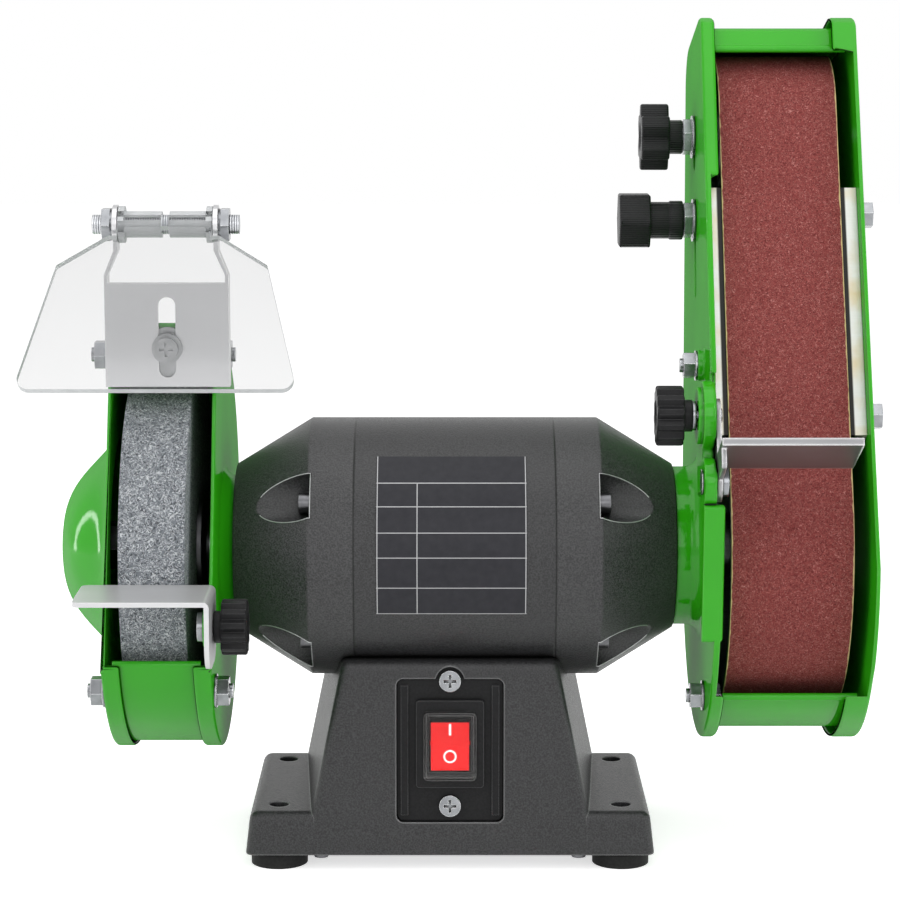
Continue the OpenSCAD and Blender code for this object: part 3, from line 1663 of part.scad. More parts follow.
table_knob_out = [23.6, 12.5];
table_knob_tip = arm_x - table_knob_out[0];
table_knob_shoulder = arm_x - table_knob_out[1];
table_washer_x = ear_x - ear_boss - slide_gap;
table_washer_t = 1.5;
table_washer_d = 12;
table_knob_d = 24.5;
module table_knob() {
    washer_x = table_washer_x - table_washer_t;
    color(black_plastic) on_arm() translate([0, stud.x, stud.y]) {
        star_knob(table_knob_d, grip_lobes, table_knob_tip, table_knob_shoulder, washer_x, stud_d - over);
        along_x(table_knob_shoulder, flange_x + table_flange_t + over) circle(d = stud_d);
        along_x(washer_x - over, table_washer_x) circle(d = table_washer_d);
    }
}

base_casting();
rubber_feet();
bottom_plate();
bottom_screws();
switch_panel();
panel_screws();
switch_body();
switch_rocker();
switch_cover();
cable_gland();
capacitor();
stator_housing();
left_end_bell();
right_end_bell();
tie_bolts();
motor_mount_screws();
stator_core();
windings();
rotor_core();
motor_shaft();
ball_bearings();
guard_inner_plate();
guard_cover();
guard_strip();
guard_bolts();
guard_screws();
grinding_wheel();
wheel_flanges();
wheel_nut();
tool_rest();
rest_bolt();
rest_knob();
shield_bracket();
bracket_screw();
hinge_rod();
rod_nuts();
eye_shield();
arm_casting();
arm_cover();
arm_strip();
arm_bolts();
arm_clamp_ring();
clamp_screws();
drive_wheel();
drive_nut();
sanding_belt();
idler_roller();
idler_bearings();
idler_axle();
tension_carriage();
tension_bolt();
tension_spring();
axle_nuts();
tracking_knob();
tension_knob();
platen();
platen_bolts();
work_table();
table_pivot();
table_knob();
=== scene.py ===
import math
import bpy
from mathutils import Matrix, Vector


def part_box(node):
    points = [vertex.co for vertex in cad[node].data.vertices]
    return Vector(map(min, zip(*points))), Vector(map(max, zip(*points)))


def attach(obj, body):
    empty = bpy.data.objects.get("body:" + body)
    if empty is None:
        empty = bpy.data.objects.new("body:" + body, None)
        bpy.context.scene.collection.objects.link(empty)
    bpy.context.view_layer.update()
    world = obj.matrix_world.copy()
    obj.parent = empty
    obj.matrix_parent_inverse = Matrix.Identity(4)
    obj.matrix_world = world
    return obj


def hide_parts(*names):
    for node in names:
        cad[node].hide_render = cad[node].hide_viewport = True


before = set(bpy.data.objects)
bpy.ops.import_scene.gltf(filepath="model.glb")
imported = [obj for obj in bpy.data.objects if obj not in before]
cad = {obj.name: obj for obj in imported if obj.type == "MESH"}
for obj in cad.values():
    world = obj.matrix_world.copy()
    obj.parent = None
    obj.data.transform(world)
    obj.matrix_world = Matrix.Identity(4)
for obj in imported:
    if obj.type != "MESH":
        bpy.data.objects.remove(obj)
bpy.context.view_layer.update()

# Studio: a pale floor under the feet, soft boxes around and above, and a narrow strip at each side.
# The floor and the world show white to the camera, to gloss and through glass,
# and the floor keeps the shadow of the machine.
bpy.context.scene.view_settings.view_transform = "Standard"


def fill(tree, socket, value):
    if isinstance(value, bpy.types.NodeSocket):
        tree.links.new(value, socket)
    else:
        socket.default_value = value


def node(tree, kind, inputs=None, **settings):
    made = tree.nodes.new("ShaderNode" + kind)
    for key, value in settings.items():
        setattr(made, key, value)
    for key, value in (inputs or {}).items():
        fill(tree, made.inputs[key], value)
    return made


def calc(tree, operation, *values):
    return node(tree, "Math", dict(enumerate(values)), operation=operation).outputs[0]


def ramp(tree, value, low, high, at_low=0.0, at_high=1.0):
    made = node(tree, "MapRange", {
        "Value": value, "From Min": low, "From Max": high, "To Min": at_low, "To Max": at_high})
    return made.outputs[0]


def between(tree, fraction, first, last):
    return ramp(tree, fraction, 0.0, 1.0, first, last)


def seen_directly(tree):
    rays = node(tree, "LightPath").outputs
    seen = calc(tree, "MAXIMUM", rays["Is Camera Ray"], rays["Is Glossy Ray"])
    return calc(tree, "MAXIMUM", seen, rays["Is Transmission Ray"])


white = (1, 1, 1, 1)
ambient, seen_white = 0.5, 1.0
world = bpy.data.worlds.new("studio")
bpy.context.scene.world = world
world.use_nodes = True
sky = world.node_tree
sky.nodes.clear()
strength = between(sky, seen_directly(sky), ambient, seen_white)
glow = node(sky, "Background", {"Color": white, "Strength": strength})
node(sky, "OutputWorld", {"Surface": glow.outputs[0]})

floor_size = 8
floor_lift = 0.62
bpy.ops.object.select_all(action="DESELECT")
bpy.ops.mesh.primitive_plane_add(size=floor_size, location=(0, 0, 0))
floor = bpy.context.object
floor.name = "floor"
pale_floor = bpy.data.materials.new("pale_floor")
pale_floor.use_nodes = True
ground = pale_floor.node_tree
ground.nodes.clear()
matte = node(ground, "BsdfDiffuse", {"Color": (0.9, 0.9, 0.9, 1)})
lift = calc(ground, "MULTIPLY", seen_directly(ground), floor_lift)
shine = node(ground, "Emission", {"Color": white, "Strength": lift})
both = node(ground, "AddShader", {0: matte.outputs[0], 1: shine.outputs[0]})
node(ground, "OutputMaterial", {"Surface": both.outputs[0]})
floor.data.materials.append(pale_floor)

for name, place, turn, width, height, power in (
    ("top_box", (0.0, -0.35, 1.5), (12, 0, 0), 1.4, 1.4, 9),
    ("left_box", (-1.3, -0.9, 0.8), (68, 0, -55), 1.1, 1.1, 6.5),
    ("right_box", (1.4, -0.8, 0.7), (70, 0, 60), 1.1, 1.1, 5),
    ("front_box", (0.15, -1.9, 0.9), (68, 0, 4), 1.0, 1.0, 6),
    ("left_strip", (-1.2, 0.35, 0.35), (80, 0, -108), 0.07, 0.8, 1.6),
    ("right_strip", (1.2, -0.5, 0.4), (80, 0, 67), 0.07, 0.8, 1.6),
):
    light = bpy.data.lights.new(name, "AREA")
    light.shape = "RECTANGLE"
    light.size = width
    light.size_y = height
    light.energy = power
    lamp = bpy.data.objects.new(name, light)
    lamp.location = place
    lamp.rotation_euler = [math.radians(angle) for angle in turn]
    bpy.context.scene.collection.objects.link(lamp)

lens = bpy.data.cameras.new("camera")
lens.lens = 111.2
lens.sensor_width = 36
camera = bpy.data.objects.new("camera", lens)
camera.location = (0, -1.1788, 0.3582)
camera.rotation_euler = (math.radians(81), 0, 0)
bpy.context.scene.collection.objects.link(camera)
bpy.context.scene.camera = camera

# Bench base: a hollow casting in dark charcoal texture paint, bolted to the bench by its feet.
# Along the rounded edges of the casting a paler tone is a painted highlight, painted shade darkens
# its corners and seams, and it has the fine grain of a textured powder coat.


def finish(name, **constants):
    made = bpy.data.materials.new(name)
    made.use_nodes = True
    tree = made.node_tree
    shader = tree.nodes["Principled BSDF"]
    for key, value in constants.items():
        shader.inputs[key.replace("_", " ")].default_value = value
    place = node(tree, "TexCoord").outputs["Object"]
    return made, tree, shader, place


def noise(tree, place, scale, detail, **inputs):
    made = node(tree, "TexNoise", {"Vector": place, "Scale": scale, "Detail": detail, **inputs})
    return made.outputs["Fac"]


def rounded(tree, radius):
    return node(tree, "Bevel", {"Radius": radius}, samples=6).outputs["Normal"]


def edge_mask(tree, normal, full):
    faint = 0.03
    flat = node(tree, "NewGeometry").outputs["Normal"]
    along = node(tree, "VectorMath", {0: normal, 1: flat}, operation="DOT_PRODUCT")
    return ramp(tree, calc(tree, "SUBTRACT", 1.0, along.outputs["Value"]), faint, full)


def mix(tree, factor, first, second):
    return node(tree, "Mix", {0: factor, 6: first, 7: second}, data_type="RGBA").outputs[2]


def emboss(tree, shader, height, normal, strength, depth):
    bump = node(tree, "Bump", {
        "Height": height, "Normal": normal, "Strength": strength, "Distance": depth})
    tree.links.new(bump.outputs[0], shader.inputs["Normal"])
    return bump.outputs[0]


def dress(coat, *names):
    for name in names:
        for held in cad[name].material_slots:
            held.material = coat


# Painted shade: ambient occlusion darkens the colour towards near-black in corners, creases,
# recesses and seams between parts.
def painted_hollow_shade(tree, tone, reach):
    shade_black = (0.002, 0.002, 0.002, 1)
    closed, clear = 0.25, 0.8
    hidden = node(tree, "AmbientOcclusion", {"Distance": reach}, samples=8).outputs["AO"]
    return mix(tree, ramp(tree, hidden, closed, clear), shade_black, tone)


# The socket keeps a plain value of its own for viewers that drop the link.
def gloss_by_angle(tree, socket, square_on, low_angle, start, stop):
    slope = node(tree, "LayerWeight").outputs["Facing"]
    tree.links.new(ramp(tree, slope, start, stop, square_on, low_angle), socket)


def grained_paint(name, dark, pale, painted_edge_tone):
    made, tree, shader, place = finish(name, Specular_IOR_Level=0.3)
    gloss_by_angle(
        tree, shader.inputs["Specular IOR Level"], square_on=0.36, low_angle=0.08,
        start=0.83, stop=0.93)
    grit = ramp(tree, noise(tree, place, scale=1500, detail=2), 0.36, 0.66)
    patchy = between(tree, noise(tree, place, scale=40, detail=3), 0.0, 0.3)
    soft = rounded(tree, radius=0.0014)
    tone = mix(tree, patchy, mix(tree, grit, dark, pale), pale)
    # Edge tone: pale, it is a painted highlight on the edges; near-black, it is painted shade along
    # seams. Then painted shade in hollows.
    tone = mix(tree, edge_mask(tree, soft, full=0.22), tone, painted_edge_tone)
    tree.links.new(painted_hollow_shade(tree, tone, reach=0.0025), shader.inputs["Base Color"])
    tree.links.new(between(tree, grit, 0.30, 0.46), shader.inputs["Roughness"])
    emboss(tree, shader, grit, soft, strength=0.22, depth=0.0004)
    return made


charcoal_paint = grained_paint(
    "charcoal_paint", dark=(0.008, 0.008, 0.0085, 1), pale=(0.040, 0.040, 0.042, 1),
    painted_edge_tone=(0.30, 0.30, 0.305, 1))
dress(charcoal_paint, "base_casting")

# Feet, bottom plate and its screws: moulded black rubber feet over the bench bolt holes,
# and a thin blackened plate held under the casting by four screws.
black_rubber, tree, shader, place = finish("black_rubber", Roughness=0.7, Specular_IOR_Level=0.2)
speck = noise(tree, place, scale=900, detail=2)
tone = mix(tree, speck, (0.008, 0.008, 0.008, 1), (0.026, 0.026, 0.026, 1))
tree.links.new(tone, shader.inputs["Base Color"])
emboss(tree, shader, speck, rounded(tree, radius=0.001), strength=0.15, depth=0.0003)
dress(black_rubber, "rubber_feet")

dark_steel, tree, shader, place = finish("dark_steel", Metallic=1.0, Roughness=0.35)
cloud = noise(tree, place, scale=350, detail=3)
tone = mix(tree, cloud, (0.07, 0.07, 0.075, 1), (0.19, 0.19, 0.20, 1))
tree.links.new(tone, shader.inputs["Base Color"])
tree.links.new(rounded(tree, radius=0.0005), shader.inputs["Normal"])
dress(dark_steel, "bottom_plate", "bottom_screws")

# Switch: a black moulded panel in the recess of the casting, held by two zinc plated cross head
# screws, with a framed switch body, a red rocker and a clear splash cap over it.
black_plastic, tree, shader, place = finish(
    "black_plastic", Roughness=0.36, Specular_IOR_Level=0.12)
grain = noise(tree, place, scale=1100, detail=2)
soft = rounded(tree, radius=0.0006)
tone = mix(tree, grain, (0.006, 0.006, 0.0065, 1), (0.020, 0.020, 0.021, 1))
# Painted highlight: the edges are painted paler; then painted shade in hollows.
tone = mix(tree, edge_mask(tree, soft, full=0.3), tone, (0.15, 0.15, 0.154, 1))
tree.links.new(painted_hollow_shade(tree, tone, reach=0.002), shader.inputs["Base Color"])
emboss(tree, shader, grain, soft, strength=0.12, depth=0.0003)
dress(black_plastic, "switch_panel", "switch_body", "cable_gland")

zinc_plate, tree, shader, place = finish("zinc_plate", Metallic=1.0)
bloom = noise(tree, place, scale=220, detail=4)
soft = rounded(tree, radius=0.0006)
tone = mix(tree, bloom, (0.13, 0.135, 0.145, 1), (0.36, 0.37, 0.385, 1))
# Painted highlight: the edges are painted near-white; then painted shade in hollows.
tone = mix(tree, edge_mask(tree, soft, full=0.25), tone, (0.82, 0.83, 0.84, 1))
tree.links.new(painted_hollow_shade(tree, tone, reach=0.0022), shader.inputs["Base Color"])
tree.links.new(between(tree, bloom, 0.14, 0.32), shader.inputs["Roughness"])
tree.links.new(soft, shader.inputs["Normal"])
dress(zinc_plate, "panel_screws")

stroke_middle, stroke_half, stroke_width = 0.0613, 0.0026, 0.0005
ring_middle, ring_radius, ring_width = 0.0494, 0.0024, 0.0004
rocker_red, tree, shader, place = finish("rocker_red", Roughness=0.25, Specular_IOR_Level=0.08)
axes = node(tree, "SeparateXYZ", {0: place}).outputs
across = calc(tree, "COMPARE", axes[0], 0.0, stroke_width)
upright = calc(tree, "COMPARE", axes[2], stroke_middle, stroke_half)
lowered = calc(tree, "SUBTRACT", axes[2], ring_middle)
face_place = node(tree, "CombineXYZ", {0: axes[0], 1: 0.0, 2: lowered}).outputs[0]
reach = node(tree, "VectorMath", {0: face_place}, operation="LENGTH").outputs["Value"]
ring = calc(tree, "COMPARE", reach, ring_radius, ring_width)
marks = calc(tree, "MAXIMUM", calc(tree, "MULTIPLY", across, upright), ring)
haze = noise(tree, place, scale=160, detail=2)
tone = mix(tree, haze, (0.80, 0.010, 0.010, 1), (0.96, 0.018, 0.018, 1))
tree.links.new(mix(tree, marks, tone, (0.95, 0.95, 0.95, 1)), shader.inputs["Base Color"])
tree.links.new(rounded(tree, radius=0.0006), shader.inputs["Normal"])
dress(rocker_red, "switch_rocker")

clear_cap, tree, shader, place = finish("clear_cap", Transmission_Weight=1.0, IOR=1.22)
smear = noise(tree, place, scale=120, detail=2)
soft = rounded(tree, radius=0.0008)
# Painted reflection: the rim of the cap is painted grey and made less clear, for the light bent and
# reflected along its edges.
rim = edge_mask(tree, soft, full=0.25)
tone = mix(tree, smear, (0.95, 0.95, 0.95, 1), white)
tree.links.new(mix(tree, rim, tone, (0.40, 0.38, 0.38, 1)), shader.inputs["Base Color"])
tree.links.new(between(tree, rim, 1.0, 0.55), shader.inputs["Transmission Weight"])
tree.links.new(between(tree, smear, 0.01, 0.06), shader.inputs["Roughness"])
tree.links.new(soft, shader.inputs["Normal"])
dress(clear_cap, "switch_cover")

# Electrical pieces inside: an aluminium capacitor can, varnished copper windings, the laminated
# steel cores and the turned shaft in its bearings, all out of sight when the machine is closed.
bright_steel, tree, shader, place = finish("bright_steel", Metallic=1.0)
stretch = node(tree, "Mapping", {"Vector": place, "Scale": (40, 1500, 1500)}).outputs[0]
lines = noise(tree, stretch, scale=1.0, detail=3)
tone = mix(tree, lines, (0.24, 0.245, 0.26, 1), (0.48, 0.49, 0.51, 1))
tree.links.new(tone, shader.inputs["Base Color"])
tree.links.new(between(tree, lines, 0.22, 0.45), shader.inputs["Roughness"])
tree.links.new(rounded(tree, radius=0.0005), shader.inputs["Normal"])
dress(
    bright_steel, "capacitor", "stator_core", "rotor_core", "motor_shaft", "ball_bearings",
    "motor_mount_screws")

copper_wire, tree, shader, place = finish("copper_wire", Metallic=1.0, Roughness=0.35)
turns = node(
    tree, "TexWave", {"Vector": place, "Scale": 400, "Distortion": 1.5}, bands_direction="X")
tone = mix(tree, turns.outputs["Fac"], (0.25, 0.10, 0.04, 1), (0.62, 0.30, 0.13, 1))
tree.links.new(tone, shader.inputs["Base Color"])
dress(copper_wire, "windings")

# Motor: a turned and painted housing between two cast end bells, drawn together by tie bolts
# in scalloped pockets. Painted shade darkens the seams at the ends of the housing. The bells have
# a paler coat, and a thin pale bead along the rims of their pockets is a painted highlight.
# Both coats take a near-black edge tone: painted shade along the seams and edges.
housing_paint = grained_paint(
    "housing_paint", dark=(0.009, 0.009, 0.0095, 1), pale=(0.044, 0.044, 0.046, 1),
    painted_edge_tone=(0.003, 0.003, 0.003, 1))
dress(housing_paint, "stator_housing")
bell_paint = grained_paint(
    "bell_paint", dark=(0.014, 0.014, 0.0145, 1), pale=(0.060, 0.060, 0.062, 1),
    painted_edge_tone=(0.006, 0.006, 0.006, 1))
dress(bell_paint, "left_end_bell", "right_end_bell")
dress(dark_steel, "tie_bolts")
# Painted highlight: this pale material goes on a thin bead laid along the pocket rims.
painted_rim_highlight, tree, shader, place = finish("painted_rim_highlight", Roughness=0.4, Metallic=0.5)
cloud = noise(tree, place, scale=400, detail=2)
tone = mix(tree, cloud, (0.30, 0.30, 0.31, 1), (0.62, 0.62, 0.63, 1))
tree.links.new(tone, shader.inputs["Base Color"])

hair = 1e-5
merge_within = 1e-6
crease = math.radians(32)
axis_height = 0.130
pocket_floor = 0.0425
bell_radius = 0.0545
rim_half = 0.00022


def hold(piece):
    bpy.ops.object.select_all(action="DESELECT")
    piece.select_set(True)
    bpy.context.view_layer.objects.active = piece


def merged_copy(name, source):
    made = cad[source].copy()
    made.data = cad[source].data.copy()
    bpy.context.scene.collection.objects.link(made)
    made.name = name
    hold(made)
    bpy.ops.object.mode_set(mode="EDIT")
    bpy.ops.mesh.select_all(action="SELECT")
    bpy.ops.mesh.remove_doubles(threshold=merge_within)
    bpy.ops.object.mode_set(mode="OBJECT")
    made.data.materials.clear()
    return made


def joined(name, first, *others):
    hold(first)
    for part in others:
        part.select_set(True)
    bpy.ops.object.join()
    first.name = name
    bpy.ops.object.shade_smooth_by_angle(angle=crease)
    return first


def pocket_outline(source, shoulder, end):
    bell = merged_copy("bell_copy", source)
    bpy.context.tool_settings.mesh_select_mode = (False, True, False)
    outline = set()
    for sharpness, at_shoulder, least in ((60, True, bell_radius), (15, False, pocket_floor)):
        bpy.ops.object.mode_set(mode="EDIT")
        bpy.ops.mesh.select_all(action="DESELECT")
        bpy.ops.mesh.edges_select_sharp(sharpness=math.radians(sharpness))
        bpy.ops.object.mode_set(mode="OBJECT")
        for edge in bell.data.edges:
            ends = [bell.data.vertices[i].co for i in edge.vertices]
            level = abs(ends[0].x - ends[1].x) < merge_within
            beyond = all(abs(shoulder) - hair < abs(point.x) < abs(end) for point in ends)
            outer = all(math.hypot(point.y, point.z - axis_height) > least for point in ends)
            if edge.select and level == at_shoulder and beyond and outer:
                outline.add(edge.index)
    for edge in bell.data.edges:
        edge.select = edge.index in outline
    bpy.ops.object.mode_set(mode="EDIT")
    bpy.ops.mesh.duplicate()
    bpy.ops.mesh.separate(type="SELECTED")
    bpy.ops.object.mode_set(mode="OBJECT")
    wire = next(made for made in bpy.context.selected_objects if made is not bell)
    bpy.data.objects.remove(bell)
    hold(wire)
    bpy.ops.object.convert(target="CURVE")
    wire.data.bevel_depth = rim_half
    wire.data.bevel_resolution = 1
    wire.data.use_fill_caps = True
    bpy.ops.object.convert(target="MESH")
    bpy.ops.object.mode_set(mode="EDIT")
    bpy.ops.mesh.select_all(action="SELECT")
    bpy.ops.mesh.remove_doubles(threshold=merge_within)
    bpy.ops.mesh.normals_make_consistent(inside=False)
    bpy.ops.object.mode_set(mode="OBJECT")
    return bpy.context.object


pocket_rims = joined(
    "pocket_rims",
    pocket_outline("left_end_bell", shoulder=-0.058, end=-0.0805),
    pocket_outline("right_end_bell", shoulder=0.062, end=0.0845),
)
pocket_rims.data.materials.clear()
pocket_rims.data.materials.append(painted_rim_highlight)
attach(pocket_rims, "machine")

# Rating plate: a thin printed aluminium plate wrapped on the front of the housing and glued there.
# It is bare between its ruled lines.
plate_radius = 0.0553
plate_width = 0.0622
plate_middle = 0.0006
plate_thickness = 0.0003
plate_bottom, plate_top = -20.6, 52.6
rule_heights = (0.16451, 0.15557, 0.14531, 0.13519, 0.12251, 0.11110)
rule_half = 0.00018
column_place = -0.0136
border_place = 0.0307
line_half = 0.0002


def pick(piece, kind, test):
    kinds = ("vertices", "edges", "polygons")
    bpy.context.tool_settings.mesh_select_mode = [kind == name for name in kinds]
    bpy.ops.object.mode_set(mode="EDIT")
    bpy.ops.mesh.select_all(action="DESELECT")
    bpy.ops.object.mode_set(mode="OBJECT")
    for item in getattr(piece.data, kind):
        item.select = test(item)
    bpy.ops.object.mode_set(mode="EDIT")


def off_plate(face):
    angle = math.degrees(math.atan2(face.center.z - axis_height, -face.center.y))
    return not plate_bottom < angle < plate_top


def distance(tree, value, middle):
    return calc(tree, "ABSOLUTE", calc(tree, "SUBTRACT", value, middle))


bpy.ops.object.select_all(action="DESELECT")
bpy.ops.mesh.primitive_cylinder_add(
    vertices=288, radius=plate_radius, depth=plate_width, end_fill_type="NOTHING",
    location=(plate_middle, 0, axis_height), rotation=(0, math.pi / 2, 0),
)
rating_plate = bpy.context.object
rating_plate.name = "rating_plate"
bpy.ops.object.transform_apply(location=True, rotation=True, scale=True)
pick(rating_plate, "polygons", off_plate)
bpy.ops.mesh.delete(type="FACE")
bpy.ops.mesh.select_all(action="SELECT")
bpy.ops.mesh.normals_make_consistent(inside=False)
bpy.ops.object.mode_set(mode="OBJECT")
thicken = rating_plate.modifiers.new("thickness", "SOLIDIFY")
thicken.thickness = plate_thickness
thicken.offset = 1
bpy.ops.object.modifier_apply(modifier="thickness")
bpy.ops.object.shade_smooth_by_angle(angle=crease)

plate_print, tree, shader, place = finish("plate_print", Roughness=0.42, Specular_IOR_Level=0.16)
axes = node(tree, "SeparateXYZ", {0: place}).outputs
column = calc(tree, "COMPARE", axes[0], column_place, line_half)
ruled = calc(tree, "MULTIPLY", column, calc(tree, "LESS_THAN", axes[2], rule_heights[0]))
border = calc(tree, "COMPARE", distance(tree, axes[0], plate_middle), border_place, line_half)
ruled = calc(tree, "MAXIMUM", ruled, border)
for height in rule_heights:
    rule = calc(tree, "COMPARE", axes[2], height, rule_half)
    ruled = calc(tree, "MAXIMUM", ruled, rule)
haze = noise(tree, place, scale=300, detail=3)
tone = mix(tree, haze, (0.018, 0.018, 0.022, 1), (0.034, 0.034, 0.040, 1))
tree.links.new(mix(tree, ruled, tone, (0.45, 0.45, 0.46, 1)), shader.inputs["Base Color"])
rating_plate.data.materials.append(plate_print)
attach(rating_plate, "machine")

# Grinder guard: pressed steel plates and a rolled strip in glossy green powder coat,
# drawn together by zinc plated through bolts and screwed to the end of the motor.
# The outlines of the two plates are rounded by the press.
green_coat, tree, shader, place = finish(
    "green_coat", Specular_IOR_Level=0.0, Coat_Weight=0.5, Coat_Roughness=0.07, Coat_IOR=1.45)
gloss_by_angle(
    tree, shader.inputs["Coat Weight"], square_on=0.65, low_angle=0.12, start=0.6, stop=0.9)
peel = noise(tree, place, scale=420, detail=2)
soft = rounded(tree, radius=0.0011)
cloud = noise(tree, place, scale=25, detail=2)
tone = mix(tree, cloud, (0.022, 0.32, 0.005, 1), (0.036, 0.41, 0.009, 1))
# Painted highlight: the edges are painted a paler green; then painted shade in hollows.
tone = mix(tree, edge_mask(tree, soft, full=0.3), tone, (0.11, 0.58, 0.06, 1))
tree.links.new(painted_hollow_shade(tree, tone, reach=0.0025), shader.inputs["Base Color"])
tree.links.new(between(tree, peel, 0.40, 0.55), shader.inputs["Roughness"])
dimples = emboss(tree, shader, peel, soft, strength=0.05, depth=0.0004)
tree.links.new(dimples, shader.inputs["Coat Normal"])
dress(green_coat, "guard_strip")
dress(zinc_plate, "guard_bolts", "guard_screws")


def eased(name, source, chosen, width):
    made = merged_copy(name, source)
    made.data.materials.append(green_coat)
    bpy.context.tool_settings.mesh_select_mode = (False, True, False)
    bpy.ops.object.mode_set(mode="EDIT")
    bpy.ops.mesh.customdata_custom_splitnormals_clear()
    bpy.ops.mesh.select_all(action="SELECT")
    bpy.ops.mesh.dissolve_limited(angle_limit=math.radians(0.3))
    bpy.ops.mesh.select_all(action="DESELECT")
    bpy.ops.mesh.edges_select_sharp(sharpness=math.radians(50))
    bpy.ops.object.mode_set(mode="OBJECT")
    points = made.data.vertices
    for edge in made.data.edges:
        edge.select = edge.select and all(chosen(points[i].co) for i in edge.vertices)
    bpy.ops.object.mode_set(mode="EDIT")
    bpy.ops.mesh.bevel(offset=width, segments=3, affect="EDGES")
    bpy.ops.object.mode_set(mode="OBJECT")
    bpy.ops.object.shade_smooth_by_angle(angle=crease)
    level = made.modifiers.new("level_faces", "WEIGHTED_NORMAL")
    level.keep_sharp = True
    bpy.ops.object.modifier_apply(modifier="level_faces")
    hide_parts(source)
    return made


dome_reach = 0.045
for name, source, face in (
    ("guard_face", "guard_cover", -0.1420),
    ("guard_plate", "guard_inner_plate", -0.0970),
):
    def on_outer_face(point):
        away = math.hypot(point.y, point.z - axis_height)
        return away > dome_reach and abs(point.x - face) < hair
    plate = eased(name, source, on_outer_face, width=0.001)
    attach(plate, "machine")

# Grinding wheel: vitrified grey grit with bright and dark grains, moulded and fired.
# It is clamped on the shaft by a nut, between two dished steel flanges.


def curls(tree, place, scale, thin):
    swirl = noise(tree, place, scale, detail=1, Distortion=1.6)
    return ramp(tree, distance(tree, swirl, 0.5), thin, 0.0)


grey_grit, tree, shader, place = finish("grey_grit", Roughness=0.85, Specular_IOR_Level=0.3)
fleck = noise(tree, place, scale=1100, detail=2)
cloud = noise(tree, place, scale=60, detail=3)
tone = mix(tree, cloud, (0.13, 0.145, 0.16, 1), (0.23, 0.25, 0.27, 1))
tone = mix(tree, ramp(tree, fleck, 0.5, 0.36), tone, (0.06, 0.066, 0.074, 1))
tone = mix(tree, curls(tree, place, scale=520, thin=0.05), tone, (0.62, 0.64, 0.66, 1))
tree.links.new(tone, shader.inputs["Base Color"])
emboss(tree, shader, fleck, rounded(tree, radius=0.001), strength=0.6, depth=0.0006)
dress(grey_grit, "grinding_wheel")
dress(dark_steel, "wheel_flanges")
dress(zinc_plate, "wheel_nut")

# Tool rest: a bent plate of satin steel in front of the wheel.
# It slides on its slot over a square necked zinc plated bolt and is clamped by a star knob.


def sheet_metal(name, dark, pale, metallic, smooth, rough, edge=0.9, radius=0.0006):
    made, tree, shader, place = finish(name, Metallic=metallic)
    stretch = node(tree, "Mapping", {"Vector": place, "Scale": (60, 1500, 1500)}).outputs[0]
    lines = noise(tree, stretch, scale=1.0, detail=4)
    soft = rounded(tree, radius)
    cloud = noise(tree, place, scale=45, detail=2)
    tone = mix(tree, cloud, mix(tree, lines, dark, pale), dark)
    # Painted highlight: the edges are painted in the pale edge tone.
    tone = mix(tree, edge_mask(tree, soft, full=0.3), tone, (edge, edge, edge, 1))
    tree.links.new(tone, shader.inputs["Base Color"])
    tree.links.new(between(tree, lines, smooth, rough), shader.inputs["Roughness"])
    emboss(tree, shader, lines, soft, strength=0.05, depth=0.0002)
    return made, tree, shader, place, tone


rest_steel, *_ = sheet_metal(
    "rest_steel", dark=(0.54, 0.54, 0.55, 1), pale=(0.75, 0.75, 0.76, 1), metallic=0.5,
    smooth=0.3, rough=0.46, edge=0.76)
dress(rest_steel, "tool_rest")
dress(zinc_plate, "rest_bolt")

# Star knob of the tool rest: moulded black plastic screwed on the rest's bolt, with twelve lobes,
# rounded rims and a dished face, on a plain turned collar.


def knob_place(name):
    low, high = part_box(name)
    return low[0], high[0], ((low[1] + high[1]) / 2, (low[2] + high[2]) / 2)


def at_x(piece, edge, x):
    return all(abs(piece.data.vertices[i].co.x - x) < hair for i in edge.vertices)


def turned(start, stop, middle, radius, rounding, vertices=64):
    bpy.ops.object.select_all(action="DESELECT")
    bpy.ops.mesh.primitive_cylinder_add(
        vertices=vertices, radius=radius, depth=abs(stop - start),
        location=((start + stop) / 2, *middle), rotation=(0, math.pi / 2, 0),
    )
    made = bpy.context.object
    bpy.ops.object.transform_apply(location=True, rotation=True, scale=True)
    pick(made, "edges", lambda edge: at_x(made, edge, start) or at_x(made, edge, stop))
    bpy.ops.mesh.bevel(offset=rounding, segments=3, affect="EDGES")
    bpy.ops.object.mode_set(mode="OBJECT")
    return made


